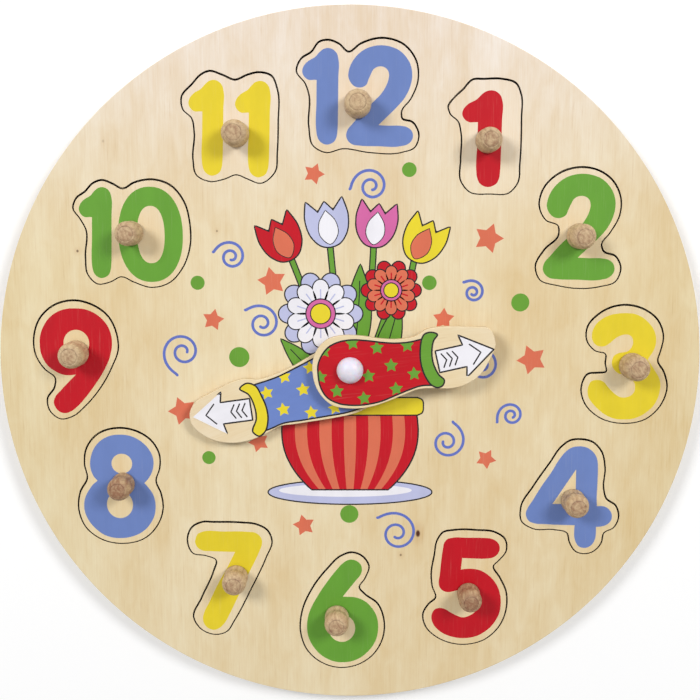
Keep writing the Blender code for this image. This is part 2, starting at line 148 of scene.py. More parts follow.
def plate(outline, bottom, top, holes=(), ease=0.0):
    """Flat piece between two heights. Each side is a loop carried down a profile that is a
    quarter circle of the ease at each edge, and the two faces are filled with triangles."""
    if ease:
        turn = np.linspace(math.pi / 2, 0, EASE_STEPS + 1)
        inset = ease * (1 - np.cos(turn))
        upper = list(zip(inset, top - ease * (1 - np.sin(turn))))
        lower = list(zip(inset, bottom + ease * (1 - np.sin(turn))))[::-1]
        flat = FLAT_START * ease
        profile = [(flat, top), *upper, *lower, (flat, bottom)]
    else:
        profile = [(0.0, top), (0.0, bottom)]
    points, sides, top_rings, bottom_rings, count = [], [], [], [], 0
    for index, loop in enumerate([outline, *holes]):
        ring, quads = carried(anticlockwise(loop), profile, inward=index == 0)
        points.append(ring)
        sides.append(quads + count)
        top_rings.append(np.arange(len(loop)) + count)
        bottom_rings.append(np.arange(len(loop)) + count + len(ring) - len(loop))
        count += len(ring)
    points = np.vstack(points)
    fill = np.array(tessellate_polygon([points[ring].tolist() for ring in top_rings]))
    upper, lower = np.concatenate(top_rings), np.concatenate(bottom_rings)
    a, b, c = (points[upper[fill[:, k]], :2] for k in range(3))
    wrong = (b - a)[:, 0] * (c - a)[:, 1] - (b - a)[:, 1] * (c - a)[:, 0] < 0
    fill[wrong] = fill[wrong][:, ::-1]
    return points, [(np.vstack(sides), bool(ease)), (upper[fill], False),
                    (lower[fill[:, ::-1]], False)]


def make_piece(name, shapes, material, body, slot, *replaced):
    """One mesh of several shapes, stacked one after the other, on its body."""
    points, faces, smooth, count = [], [], [], 0
    for shape_points, groups in shapes:
        points.append(shape_points)
        for group, is_smooth in groups:
            faces += (group + count).tolist()
            smooth += [is_smooth] * len(group)
        count += len(shape_points)
    mesh = bpy.data.meshes.new(name)
    mesh.from_pydata(np.vstack(points).tolist(), [], faces)
    mesh.polygons.foreach_set("use_smooth", smooth)
    mesh.materials.append(material)
    piece = bpy.data.objects.new(name, mesh)
    bpy.context.scene.collection.objects.link(piece)
    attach(piece, body)
    if replaced:
        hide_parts(*replaced)
    return piece


def wire(tree, kind, inputs=(), **settings):
    """Node of that kind. Each input, by name or number, is linked to a socket or given a
    value."""
    made = tree.nodes.new(kind)
    for key, value in settings.items():
        setattr(made, key, value)
    for key, value in dict(inputs).items():
        if isinstance(value, bpy.types.NodeSocket):
            tree.links.new(value, made.inputs[key])
        else:
            made.inputs[key].default_value = value
    return made


def maths(tree, operation, *values):
    """Result of one sum on sockets or numbers."""
    return wire(tree, "ShaderNodeMath", enumerate(values), operation=operation).outputs[0]


def weighed(tree, start, *terms):
    """The start plus each socket times its weight."""
    for socket, weight in terms:
        start = maths(tree, "MULTIPLY_ADD", socket, weight, start)
    return start


def split(tree, vector):
    """The x, y and z of a vector."""
    return wire(tree, "ShaderNodeSeparateXYZ", {0: vector}).outputs


def own_place(tree, kind="Object"):
    """Where the shaded point is, in the piece's own coordinates."""
    return tree.nodes.new("ShaderNodeTexCoord").outputs[kind]


def blend(tree, factor, first, second, way="MIX"):
    """Colour between two colours, or one laid on the other in that way."""
    made = wire(tree, "ShaderNodeMix", {0: factor, 6: first, 7: second}, data_type="RGBA",
                blend_type=way)
    return made.outputs[2]


def spread(tree, value, low, high, to_low=0.0, to_high=1.0):
    """The value moved smoothly from one span to another, and held inside it."""
    made = wire(tree, "ShaderNodeMapRange", {
        "Value": value, "From Min": low, "From Max": high, "To Min": to_low,
        "To Max": to_high}, interpolation_type="SMOOTHSTEP")
    return made.outputs["Result"]


def grain(tree, place, stretch, detail=4.0, bend=0.0):
    """Cloudy pattern, 0 to 1, squeezed by a stretch along each axis in cycles per metre."""
    squeezed = wire(tree, "ShaderNodeVectorMath", {0: place, 1: stretch},
                    operation="MULTIPLY").outputs[0]
    return wire(tree, "ShaderNodeTexNoise", {
        "Vector": squeezed, "Scale": 1.0, "Detail": detail, "Roughness": 0.6,
        "Distortion": bend}).outputs["Fac"]


def new_group(name, **inputs):
    """Node group that takes a Vector and other named inputs, each a number or a colour, and
    gives a Color and a Height. It comes with its input and its output sockets."""
    group = bpy.data.node_groups.new(name, "ShaderNodeTree")
    sockets = group.interface
    sockets.new_socket("Vector", in_out="INPUT", socket_type="NodeSocketVector")
    for label, value in inputs.items():
        kind = "Float" if isinstance(value, float) else "Color"
        sockets.new_socket(label, in_out="INPUT",
                           socket_type="NodeSocket" + kind).default_value = value
    sockets.new_socket("Color", in_out="OUTPUT", socket_type="NodeSocketColor")
    sockets.new_socket("Height", in_out="OUTPUT", socket_type="NodeSocketFloat")
    entry = group.nodes.new("NodeGroupInput")
    return group, entry.outputs, group.nodes.new("NodeGroupOutput").inputs


def new_plywood_group():
    """Veneer and the plies under it. A ply's number is its height over the sheet's bottom,
    over the ply's thickness, and the grain of every second ply runs across the others."""
    tree, given, out = new_group("plywood_figure", Bottom=0.0, Ply=1.0 * MM, Plies=5.0,
                                 Pale=light(LINEN), Deep=light(HONEY), Figure=1.0)
    x, y, z = split(tree, given["Vector"])
    level = maths(tree, "DIVIDE", maths(tree, "SUBTRACT", z, given["Bottom"]), given["Ply"])
    level = maths(tree, "MINIMUM", maths(tree, "MAXIMUM", level, FACE_MARGIN),
                  maths(tree, "SUBTRACT", given["Plies"], FACE_MARGIN))
    cross = maths(tree, "MODULO", maths(tree, "FLOOR", level), 2.0)
    share = maths(tree, "FRACT", level)
    seam = spread(tree, maths(tree, "MINIMUM", share, maths(tree, "SUBTRACT", 1.0, share)),
                  0.0, GLUE_SPAN, 1.0, 0.0)
    over = weighed(tree, x, (cross, maths(tree, "SUBTRACT", y, x)))
    along = weighed(tree, y, (cross, maths(tree, "SUBTRACT", x, y)))
    place = wire(tree, "ShaderNodeCombineXYZ", {0: over, 1: along, 2: z}).outputs[0]
    patterns = [grain(tree, place, *pattern)
                for pattern in (BLOOM, MOTTLE, STREAK, HAIRLINE, FIBRE)]
    hairline, fibre = patterns[-2:]
    tone = weighed(tree, -sum(PLYWOOD_WEIGHTS) / 2, *zip(patterns, PLYWOOD_WEIGHTS))
    tone = spread(tree, weighed(tree, 0.5, (tone, given["Figure"])), 0.0, 1.0)
    colour = blend(tree, tone, given["Pale"], given["Deep"])
    # Painted light and shade: the wood is paler and bluer toward the twelve, warmer toward the
    # six and darker toward the sides
    painted_light = blend(tree, spread(tree, y, *UPPER_LIGHT_SPAN), LOWER_PAINTED_LIGHT, UPPER_PAINTED_LIGHT)
    side_shade_share = spread(tree, maths(tree, "ABSOLUTE", x), *SIDE_SHADE_SPAN)
    painted_light = blend(tree, side_shade_share, painted_light, SIDE_PAINTED_SHADE, "MULTIPLY")
    colour = blend(tree, 1.0, colour, painted_light, "MULTIPLY")
    colour = blend(tree, maths(tree, "MULTIPLY", cross, 0.85), colour, CROSS_CAST, "MULTIPLY")
    colour = blend(tree, spread(tree, fibre, 0.62, 0.78, 0.0, 0.22), colour, light(PORE_TAN))
    colour = blend(tree, maths(tree, "MULTIPLY", seam, 0.5), colour, light(GLUE))
    tree.links.new(colour, out["Color"])
    tree.links.new(weighed(tree, 0.0, (fibre, 0.6), (hairline, 0.4)), out["Height"])
    return tree


PLYWOOD_FIGURE = new_plywood_group()


def new_surface(name, group, values, roughness, bump=0.0, turn=0.0, **finish):
    """Material that takes its colour, and the height of its bump, from a node group placed
    on the piece's own coordinates."""
    material = bpy.data.materials.new(name)
    material.use_nodes = True
    tree = material.node_tree
    shader = tree.nodes["Principled BSDF"]
    place = own_place(tree)
    if turn:
        place = wire(tree, "ShaderNodeMapping", {"Vector": place,
                                                 "Rotation": (0, 0, turn)}).outputs[0]
    made = tree.nodes.new("ShaderNodeGroup")
    made.node_tree = group
    tree.links.new(place, made.inputs["Vector"])
    for key, value in values.items():
        made.inputs[key].default_value = value
    tree.links.new(made.outputs["Color"], shader.inputs["Base Color"])
    shader.inputs["Roughness"].default_value = roughness
    for key, value in finish.items():
        shader.inputs[key.replace("_", " ")].default_value = value
    if bump:
        lumps = wire(tree, "ShaderNodeBump", {"Height": made.outputs["Height"],
                                              "Strength": 1.0, "Distance": bump})
        tree.links.new(lumps.outputs[0], shader.inputs["Normal"])
    return material


def plywood(name, bottom, ply, plies, pale, deep, figure=1.0, roughness=0.5, bump=0.03 * MM,
            turn=0.0):
    """Material of plywood, its plies of that thickness counted up from the bottom."""
    return new_surface(name, PLYWOOD_FIGURE, {
        "Bottom": bottom, "Ply": ply, "Plies": plies, "Pale": light(pale),
        "Deep": light(deep), "Figure": figure}, roughness, bump, turn,
        Specular_IOR_Level=WOOD_GLOSS)


backing_wood = plywood("backing_wood", BACKING_BOTTOM, PLY_THICKNESS, 3.0, (236, 218, 188),
                       (212, 182, 138), roughness=0.62, bump=0.05 * MM)


def turned_grid(profile, facets, middle=(0.0, 0.0)):
    """Points on a grid: the profile's (radius, height) i, turned by angle j round an upright
    line through the middle."""
    radius, height = np.array(profile).T
    angle = np.arange(facets) * math.tau / facets
    return np.dstack([middle[0] + radius[:, None] * np.cos(angle),
                      middle[1] + radius[:, None] * np.sin(angle),
                      np.broadcast_to(height[:, None], (len(radius), facets))]).reshape(-1, 3)


def ring_turned(profile, facets):
    """Ring turned about the pivot from one closed profile, so its grid closes both ways."""
    points = turned_grid(profile, facets)
    quads = quads_between(len(profile) + 1, facets) % len(points)
    radius = np.array(profile)[:, 0]
    flat = np.repeat(np.abs(np.roll(radius, -1) - radius) > 2 * RIM_EASE, facets)
    return points, [(quads[flat], False), (quads[~flat], True)]


bend = np.linspace(0, math.pi / 2, EASE_STEPS + 1)
rim_out = BOARD_RADIUS - RIM_EASE * (1 - np.sin(bend))
rim_up = RIM_EASE * (1 - np.cos(bend))
backing_profile = [(PIVOT_HOLE_RADIUS, BACKING_TOP),
                   *zip(rim_out, BACKING_TOP - rim_up),
                   *zip(rim_out[::-1], BACKING_BOTTOM + rim_up[::-1]),
                   (FLANGE_RECESS_RADIUS, BACKING_BOTTOM),
                   (FLANGE_RECESS_RADIUS, FLANGE_RECESS_TOP),
                   (PIVOT_HOLE_RADIUS, FLANGE_RECESS_TOP)]
make_piece("backing_sheet", [ring_turned(backing_profile, RIM_POINTS)], backing_wood, "board",
           "plywood", "backing_board")

# Face sheet
# A round of five-ply wood with a pale veneer. The scroll saw follows a line round each
# number, so the hole it leaves is half a saw cut outside the line and the block half inside.

FACE_BOTTOM = 3.3 * MM
FACE_TOP = 8.3 * MM
FACE_PLY = 1.0 * MM
SAW_CUT = 0.55 * MM
CUT_EASE = 0.16 * MM
# Dark brown of the cut walls: saw scorch, and painted shade that makes the narrow cut read dark
SCORCH_AND_SHADE = (40, 26, 20)
OUTLINE_STEP = 0.8 * MM
NUMBER_HEIGHT = 50 * MM
NUMBER_SPACING = 8.9 * MM
NUMBER_RING_RADIUS = 12 * (NUMBER_HEIGHT + NUMBER_SPACING) / math.tau
PLACE_SHARES = {
    1: (0.495, 0.86), 2: (0.86, 0.53), 3: (1.05, 0.01), 4: (0.855, -0.51),
    5: (0.455, -0.88), 6: (-0.03, -0.975), 7: (-0.47, -0.845), 8: (-0.895, -0.47),
    9: (-1.045, 0.025), 10: (-0.815, 0.505), 11: (-0.445, 0.895), 12: (0.03, 1.01),
}
SAW_LINE_SHARES = {
    1: ((-0.1, 0.47), (-0.005, 0.475), (0.145, 0.475), (0.26, 0.44), (0.305, 0.345),
        (0.31, 0.165), (0.305, -0.215), (0.29, -0.375), (0.22, -0.455), (0.065, -0.465),
        (-0.115, -0.445), (-0.185, -0.36), (-0.19, -0.175), (-0.19, 0.035), (-0.215, 0.13),
        (-0.28, 0.19), (-0.3, 0.25), (-0.25, 0.325), (-0.18, 0.39)),
    2: ((-0.01, 0.5), (0.155, 0.47), (0.275, 0.38), (0.34, 0.24), (0.335, 0.105),
        (0.255, -0.05), (0.19, -0.145), (0.21, -0.2), (0.31, -0.24), (0.36, -0.34),
        (0.32, -0.455), (0.185, -0.5), (-0.175, -0.49), (-0.325, -0.44), (-0.365, -0.33),
        (-0.295, -0.19), (-0.175, -0.06), (-0.18, 0.01), (-0.285, 0.06), (-0.345, 0.18),
        (-0.315, 0.32), (-0.185, 0.45)),
    3: ((-0.005, 0.515), (0.14, 0.48), (0.27, 0.38), (0.32, 0.24), (0.3, 0.115),
        (0.28, 0.035), (0.335, -0.06), (0.37, -0.19), (0.33, -0.34), (0.2, -0.475),
        (-0.01, -0.515), (-0.21, -0.46), (-0.34, -0.33), (-0.37, -0.2), (-0.315, -0.08),
        (-0.23, -0.07), (-0.16, -0.06), (-0.17, 0.01), (-0.17, 0.09), (-0.26, 0.12),
        (-0.335, 0.21), (-0.335, 0.32), (-0.23, 0.445), (-0.12, 0.5)),
    4: ((0.08, 0.515), (0.185, 0.49), (0.265, 0.405), (0.3, 0.27), (0.295, 0.07),
        (0.32, -0.015), (0.405, -0.08), (0.435, -0.18), (0.395, -0.28), (0.31, -0.33),
        (0.29, -0.42), (0.21, -0.505), (0.14, -0.52), (0.07, -0.5), (0.01, -0.415),
        (-0.015, -0.33), (-0.125, -0.3), (-0.315, -0.29), (-0.415, -0.225), (-0.425, -0.09),
        (-0.325, 0.09), (-0.18, 0.31), (-0.085, 0.45), (-0.01, 0.505)),
    5: ((-0.115, 0.53), (0.095, 0.53), (0.255, 0.51), (0.34, 0.45), (0.355, 0.34),
        (0.295, 0.255), (0.245, 0.2), (0.3, 0.1), (0.36, -0.03), (0.37, -0.16),
        (0.315, -0.345), (0.175, -0.485), (-0.035, -0.53), (-0.235, -0.47), (-0.35, -0.36),
        (-0.375, -0.245), (-0.32, -0.145), (-0.265, -0.095), (-0.295, 0.015),
        (-0.305, 0.12), (-0.28, 0.3), (-0.25, 0.45), (-0.205, 0.51)),
    6: ((0.08, 0.54), (0.17, 0.51), (0.235, 0.415), (0.2, 0.3), (0.15, 0.215),
        (0.2, 0.155), (0.31, 0.07), (0.37, -0.085), (0.365, -0.235), (0.28, -0.405),
        (0.13, -0.51), (-0.03, -0.535), (-0.19, -0.485), (-0.32, -0.36), (-0.375, -0.185),
        (-0.355, 0.01), (-0.27, 0.205), (-0.13, 0.395), (-0.01, 0.51)),
    7: ((-0.14, 0.525), (0.1, 0.52), (0.23, 0.505), (0.335, 0.445), (0.37, 0.355),
        (0.315, 0.195), (0.18, -0.09), (0.03, -0.38), (-0.045, -0.49), (-0.15, -0.515),
        (-0.27, -0.465), (-0.335, -0.355), (-0.26, -0.17), (-0.15, 0.075), (-0.125, 0.175),
        (-0.21, 0.215), (-0.33, 0.24), (-0.375, 0.36), (-0.33, 0.48), (-0.24, 0.525)),
    8: ((0.02, 0.525), (0.165, 0.495), (0.29, 0.41), (0.355, 0.285), (0.355, 0.17),
        (0.32, 0.05), (0.36, -0.06), (0.375, -0.19), (0.33, -0.335), (0.21, -0.465),
        (0.025, -0.515), (-0.165, -0.48), (-0.305, -0.37), (-0.365, -0.2), (-0.345, -0.045),
        (-0.28, 0.08), (-0.3, 0.2), (-0.28, 0.34), (-0.185, 0.465)),
    9: ((0.005, 0.52), (0.16, 0.48), (0.29, 0.38), (0.355, 0.23), (0.365, 0.105),
        (0.305, -0.055), (0.205, -0.23), (0.07, -0.39), (-0.045, -0.485), (-0.15, -0.51),
        (-0.245, -0.435), (-0.26, -0.33), (-0.195, -0.23), (-0.185, -0.155),
        (-0.275, -0.07), (-0.345, 0.05), (-0.355, 0.205), (-0.295, 0.37), (-0.16, 0.485)),
    10: ((-0.245, 0.45), (-0.155, 0.42), (-0.075, 0.38), (0.025, 0.43), (0.185, 0.455),
         (0.325, 0.41), (0.435, 0.28), (0.485, 0.085), (0.48, -0.115), (0.415, -0.285),
         (0.3, -0.41), (0.15, -0.45), (0, -0.405), (-0.105, -0.36), (-0.205, -0.405),
         (-0.31, -0.42), (-0.39, -0.34), (-0.405, -0.195), (-0.395, 0.045), (-0.44, 0.13),
         (-0.495, 0.215), (-0.465, 0.3), (-0.39, 0.355), (-0.32, 0.425)),
    11: ((-0.165, 0.46), (-0.055, 0.43), (0.05, 0.39), (0.155, 0.43), (0.25, 0.45),
         (0.355, 0.42), (0.4, 0.315), (0.405, 0.045), (0.395, -0.195), (0.375, -0.36),
         (0.25, -0.455), (0.145, -0.42), (0.05, -0.385), (-0.05, -0.42), (-0.17, -0.44),
         (-0.285, -0.385), (-0.31, -0.255), (-0.295, -0.035), (-0.315, 0.08),
         (-0.385, 0.15), (-0.395, 0.25), (-0.305, 0.355), (-0.225, 0.435)),
    12: ((-0.25, 0.45), (-0.16, 0.42), (-0.08, 0.355), (0.02, 0.42), (0.2, 0.465),
         (0.38, 0.41), (0.48, 0.28), (0.495, 0.13), (0.435, -0.025), (0.36, -0.13),
         (0.365, -0.18), (0.45, -0.21), (0.505, -0.31), (0.475, -0.415), (0.36, -0.46),
         (0.09, -0.46), (-0.13, -0.43), (-0.27, -0.46), (-0.375, -0.405), (-0.41, -0.25),
         (-0.41, 0.02), (-0.435, 0.095), (-0.51, 0.2), (-0.47, 0.3), (-0.385, 0.355),
         (-0.32, 0.435)),
}
# Small knots: middle, half width and half length in millimetres, and how dark each is
KNOTS = ((-115.2, 49.6, 0.55, 0.6, 0.75), (-102.8, 95.2, 0.5, 0.7, 0.22),
         (-56.1, 58.0, 0.45, 0.5, 0.5), (29.9, -74.2, 1.0, 1.65, 1.0),
         (22.4, -84.0, 0.5, 0.6, 0.6))
KNOT_HALO = (196, 150, 96)
KNOT_BROWN = (74, 34, 16)


def smooth_outline(points, step, corners=()):
    """Closed curve through the points, counter-clockwise. Each stretch is a cubic whose end
    slopes are those of the parabola through an end point and its two neighbours, or those
    of the straight stretch itself where the end is one of the corners, given by number."""
    points = np.array(points, dtype=float)
    at_corner = np.isin(np.arange(len(points)), list(corners))[:, None]
    if clockwise(points):
        points, at_corner = points[::-1], at_corner[::-1]
    ahead, behind = np.roll(points, -1, axis=0), np.roll(points, 1, axis=0)
    chord = np.linalg.norm(ahead - points, axis=1)[:, None]
    before = np.roll(chord, 1, axis=0)
    slope = (before * (ahead - points) / chord + chord * (points - behind) / before)
    slope /= chord + before
    leave = np.where(at_corner, (ahead - points) / chord, slope)
    arrive = np.roll(np.where(at_corner, (points - behind) / before, slope), -1, axis=0)
    steps = np.maximum(1, np.round(chord[:, 0] / step)).astype(int)
    which = np.repeat(np.arange(len(points)), steps)
    first = np.repeat(np.cumsum(steps) - steps, steps)
    t = ((np.arange(steps.sum()) - first) / steps[which])[:, None]
    return ((2 * t**3 - 3 * t**2 + 1) * points[which] + (3 * t**2 - 2 * t**3) * ahead[which]
            + chord[which] * ((t**3 - 2 * t**2 + t) * leave[which]
                              + (t**3 - t**2) * arrive[which]))


def grown(loop, distance):
    """The loop moved outward along its normals by the distance, or inward if negative."""
    return loop + distance * outward(loop)


def saw_line(number):
    """Middle of the saw cut round a number, on the board."""
    place = np.array(PLACE_SHARES[number]) * NUMBER_RING_RADIUS
    return place + smooth_outline(np.array(SAW_LINE_SHARES[number]) * NUMBER_HEIGHT,
                                  OUTLINE_STEP)


def colour_of(material):
    """The material's tree, the socket that takes its colour, and what feeds that socket."""
    tree = material.node_tree
    socket = tree.nodes["Principled BSDF"].inputs["Base Color"]
    return tree, socket, socket.links[0].from_socket


def add_knots(material):
    """Dark spots laid over the veneer. A spot's strength falls off with the distance from
    its middle, measured in its own half width and half length."""
    tree, socket, colour = colour_of(material)
    x, y, _ = split(tree, own_place(tree))
    for across, up, half_width, half_length, strength in KNOTS:
        dx = maths(tree, "DIVIDE", maths(tree, "SUBTRACT", x, across * MM), half_width * MM)
        dy = maths(tree, "DIVIDE", maths(tree, "SUBTRACT", y, up * MM), half_length * MM)
        far = maths(tree, "SQRT", weighed(tree, 0.0, (dx, dx), (dy, dy)))
        halo = spread(tree, far, 0.8, 4.5, 0.30 * strength, 0.0)
        colour = blend(tree, halo, colour, light(KNOT_HALO))
        spot = spread(tree, far, 0.55, 1.25, strength, 0.0)
        colour = blend(tree, spot, colour, light(KNOT_BROWN))
    tree.links.new(colour, socket)


def points_of(piece):
    """The piece's points, as rows of x, y and z."""
    spots = np.empty(len(piece.data.vertices) * 3)
    piece.data.vertices.foreach_get("co", spots)
    return spots.reshape(-1, 3)


def mark(piece, label, values):
    """Puts a number on every point of the piece, which its material reads by that name."""
    attribute = piece.data.attributes.new(label, "FLOAT", "POINT")
    attribute.data.foreach_set("value", np.asarray(values, dtype=np.float32))


def scorched_and_shaded(piece, ease):
    """Marks how much each point is browned, by the saw's scorch and by painted shade that
    darkens the cut: none on the two faces, all of it once the eased edge has turned into the
    wall."""
    z = points_of(piece)[:, 2]
    return np.clip(np.minimum(FACE_TOP - z, z - FACE_BOTTOM) / ease, 0, 1)


def add_scorch_and_shade(material):
    """Browns the walls of the saw cut where the piece's points are marked: saw scorch, and
    painted shade that makes the narrow cut read dark.
    """
    tree, socket, colour = colour_of(material)
    amount = wire(tree, "ShaderNodeAttribute", attribute_name="scorch_and_shade").outputs["Fac"]
    tree.links.new(blend(tree, spread(tree, amount, 0.04, 0.5), colour, light(SCORCH_AND_SHADE)), socket)


face_wood = plywood("face_wood", FACE_BOTTOM, FACE_PLY, 5.0, LINEN, HONEY)
add_knots(face_wood)
add_scorch_and_shade(face_wood)
cut_outs = [grown(saw_line(number), SAW_CUT / 2) for number in SAW_LINE_SHARES]
face_sheet = make_piece("face_sheet", [plate(
    circle(BOARD_RADIUS, RIM_POINTS), FACE_BOTTOM, FACE_TOP,
    [circle(PIVOT_HOLE_RADIUS, HOLE_POINTS), *cut_outs], CUT_EASE)],
    face_wood, "board", "plywood", "face_board")
far_out = np.hypot(*points_of(face_sheet)[:, :2].T)
in_cut_outs = (far_out > 2 * PIVOT_HOLE_RADIUS) & (far_out < BOARD_RADIUS - 2 * MM)
# The cut-outs' walls get the scorch and painted shade; the rim and the bore do not
mark(face_sheet, "scorch_and_shade", scorched_and_shaded(face_sheet, CUT_EASE) * in_cut_outs)

# Printed scatter
# Stars, dots and curls screen-printed straight on the veneer between the numbers. Each ink
# is a thin film whose grain shows through a little.

FILM_SINK = 0.010 * MM
FILM_STEP = 0.008 * MM
PRINT_STEP = 0.4 * MM
SALMON = (218, 112, 83)
LEAF_GREEN = (102, 156, 51)
PERIWINKLE = (98, 115, 193)
CLOUD = ((90, 45, 90), 3.0)
CURL_WIDTH = 1.2
# Stars: middle, outer radius, and turn of the first point from straight up, in degrees
STARS = ((-15.1, 81.8, 4.6, -21), (-33.1, 36.8, 6.3, 12), (-58.4, 20.4, 4.8, -12),
         (58.5, 55.0, 6.5, -19), (39.9, 20.8, 4.8, -3), (78.0, 3.2, 6.6, 22),
         (-72.4, -19.2, 6.4, 20), (-39.6, -33.0, 4.7, 20), (59.2, -40.5, 4.6, -29),
         (-20.2, -70.4, 5.0, 13))
# Dots: middle and radius
DOTS = ((-64.7, 36.2, 3.0), (24.8, 83.5, 3.05), (33.7, 36.2, 3.1), (72.5, 27.8, 3.85),
        (-47.5, 4.3, 4.35), (-61.4, -39.9, 2.9), (-0.3, -65.3, 4.0))
# Curls: middle, outer radius, and angle of the outer end in degrees
CURLS = ((-50.3, 47.2, 7.8, 165), (-37.5, 18.8, 9.2, 141), (-71.6, 6.6, 10.5, 255),
         (8.9, 76.6, 9.0, 187), (52.3, 32.1, 5.9, 133), (56.6, 0.4, 8.8, 133),
         (69.8, -21.2, 6.8, 206), (42.0, -33.0, 9.3, 74), (20.6, -74.1, 11.1, 140))
CURL_TURNS = 1.72
CURL_END = 0.17
CURL_POWER = 0.6
CURL_POINTS = 110
STAR_EDGE_STEPS = 6


def new_ink_group():
    """Ink on veneer. The ink pales and deepens a little with the grain under it, and thins
    to the wood's colour on the highest fibres."""
    tree, given, out = new_group("ink_film", Ink=light(SALMON), Wood=light(LINEN), Thin=0.1)
    streak, hairline, fibre, cloud = (grain(tree, given["Vector"], *pattern)
                                      for pattern in (STREAK, HAIRLINE, FIBRE, CLOUD))
    depth = maths(tree, "ADD", spread(tree, cloud, 0.3, 0.7, 0.96, 1.03),
                  spread(tree, streak, 0.3, 0.7, -0.015, 0.015))
    tinted = wire(tree, "ShaderNodeVectorMath", {0: given["Ink"], "Scale": depth},
                  operation="SCALE").outputs[0]
    thin = maths(tree, "MULTIPLY", spread(tree, fibre, 0.55, 0.85), given["Thin"])
    tree.links.new(blend(tree, thin, tinted, given["Wood"]), out["Color"])
    tree.links.new(weighed(tree, 0.0, (fibre, 0.7), (hairline, 0.3)), out["Height"])
    return tree


INK_FILM = new_ink_group()
inks = {}


def ink(colour, thin=0.09, turn=0.0):
    """Material of one printed colour, made the first time it is asked for."""
    key = (colour, thin, turn)
    if key not in inks:
        inks[key] = new_surface(f"ink_{len(inks) + 1}", INK_FILM, {
            "Ink": light(colour), "Thin": thin}, 0.46, bump=0.012 * MM, turn=turn,
            Specular_IOR_Level=WOOD_GLOSS)
    return inks[key]


def film(loop, level=1, surface=FACE_TOP, holes=()):
    """Printed patch: the loop as a film that stands a few hundredths over its surface. A
    higher level lies over a lower one."""
    return plate(loop, surface - FILM_SINK, surface + FILM_STEP * level, holes)


def star(x, y, radius, turn, waist=0.55):
    """Five-pointed star in millimetres: radii that alternate between points and waists."""
    angle = math.radians(90 + turn) + np.arange(10) * math.tau / 10
    reach = radius * np.where(np.arange(10) % 2, waist, 1.0)
    corner = np.column_stack([x + reach * np.cos(angle), y + reach * np.sin(angle)])
    share = (np.arange(STAR_EDGE_STEPS) / STAR_EDGE_STEPS)[None, :, None]
    edge = corner[:, None, :] * (1 - share) + np.roll(corner, -1, axis=0)[:, None, :] * share
    return edge.reshape(-1, 2) * MM


def ribbon(path, width):
    """Loop round an open path: the path moved half the width to each side, with a half
    circle at each end."""
    along = np.gradient(path, axis=0)
    along /= np.linalg.norm(along, axis=1)[:, None]
    side = np.column_stack([along[:, 1], -along[:, 0]]) * width / 2
    turn = np.linspace(0, math.pi, 9)[1:-1, None]
    head = path[-1] + np.cos(turn) * side[-1] + np.sin(turn) * along[-1] * width / 2
    tail = path[0] - np.cos(turn) * side[0] - np.sin(turn) * along[0] * width / 2
    return np.vstack([path + side, head, (path - side)[::-1], tail])


def curl(x, y, radius, start):
    """Spiral line that winds clockwise. Its radius falls with a power of the turn, fast at
    first and then slowly, to a share of what it was."""
    share = np.linspace(0, 1, CURL_POINTS) ** 1.4
    angle = math.radians(start) - share * CURL_TURNS * math.tau
    reach = radius * (1 - (1 - CURL_END) * share**CURL_POWER)
    path = np.column_stack([x + reach * np.cos(angle), y + reach * np.sin(angle)])
    return ribbon(path, CURL_WIDTH) * MM


make_piece("printed_stars", [film(star(*each)) for each in STARS], ink(SALMON, 0.16), "board",
           "plywood")
make_piece("printed_dots", [film(circle(r * MM, 40, (x * MM, y * MM))) for x, y, r in DOTS],
           ink(LEAF_GREEN), "board", "plywood")
make_piece("printed_curls", [film(curl(*each)) for each in CURLS], ink(PERIWINKLE, 0.16),
           "board", "plywood")

# Printed picture
# Flowers in a striped pot, printed in the middle of the face sheet. The line colour goes on
# first, and each flat colour lies just inside it.

LINE_BLACK = (22, 18, 22)
PICTURE_RED = (194, 12, 32)
PICTURE_WHITE = (240, 238, 244)
LAVENDER = (190, 193, 226)
ORCHID = (212, 104, 164)
LEMON = (232, 212, 46)
POT_TOP, POT_BOTTOM = -20.0, -54.0
POT_STRIPES = 11
TULIP = ((0, 9.5), (3.4, 5.2), (8.0, 10.4), (9.3, 2.5), (7.4, -5.2), (3.6, -9.2), (0, -10),
         (-3.6, -9.2), (-7.4, -5.2), (-9.3, 2.5), (-8.0, 10.4), (-3.4, 5.2))
# Which of the tulip's points are sharp
TULIP_TIPS = (0, 1, 2, 10, 11)
TULIP_FRONT = ((0, 5.8), (3.6, 0.5), (3.9, -4.5), (0, -8.8), (-3.9, -4.5), (-3.6, 0.5))
LEAF = ((0.8, 40), (4.6, 30), (6.4, 18), (4.6, 6), (0, -2), (-3.4, 8), (-4.0, 20), (-2.2, 31))
POT_RIM = ((-29, -13.6), (29, -13.6), (31, -14.6), (31.4, -17.2), (31, -19.8), (29, -20.8),
           (-29, -20.8), (-31, -19.8), (-31.4, -17.2), (-31, -14.6))
POT_RIM_CORNERS = (0, 1, 5, 6)
PETAL_TURNS = range(0, 360, 36)
# Films of the picture by colour
picture = {}


def line_round(loop, distance):
    """The loop grown, without the points that come nearer to the loop than the distance,
    which is where a grown notch would cross itself."""
    loop = anticlockwise(loop)
    moved = grown(loop, distance)
    side = np.roll(loop, -1, axis=0) - loop
    off = moved[:, None, :] - loop[None, :, :]
    share = np.clip(np.sum(off * side, axis=2) / np.sum(side * side, axis=1), 0, 1)
    gap = np.linalg.norm(off - share[:, :, None] * side, axis=2).min(axis=1)
    return moved[gap > 0.9 * distance]


def draw(colour, loop, level, line=0.0):
    """Adds a loop in millimetres to the picture, with a black line round it if asked. The
    line is the same loop grown, one level lower."""
    loop = anticlockwise(np.asarray(loop, dtype=float)) * MM
    if line:
        picture.setdefault(LINE_BLACK, []).append(film(line_round(loop, line * MM), level - 1))
    picture.setdefault(colour, []).append(film(loop, level))


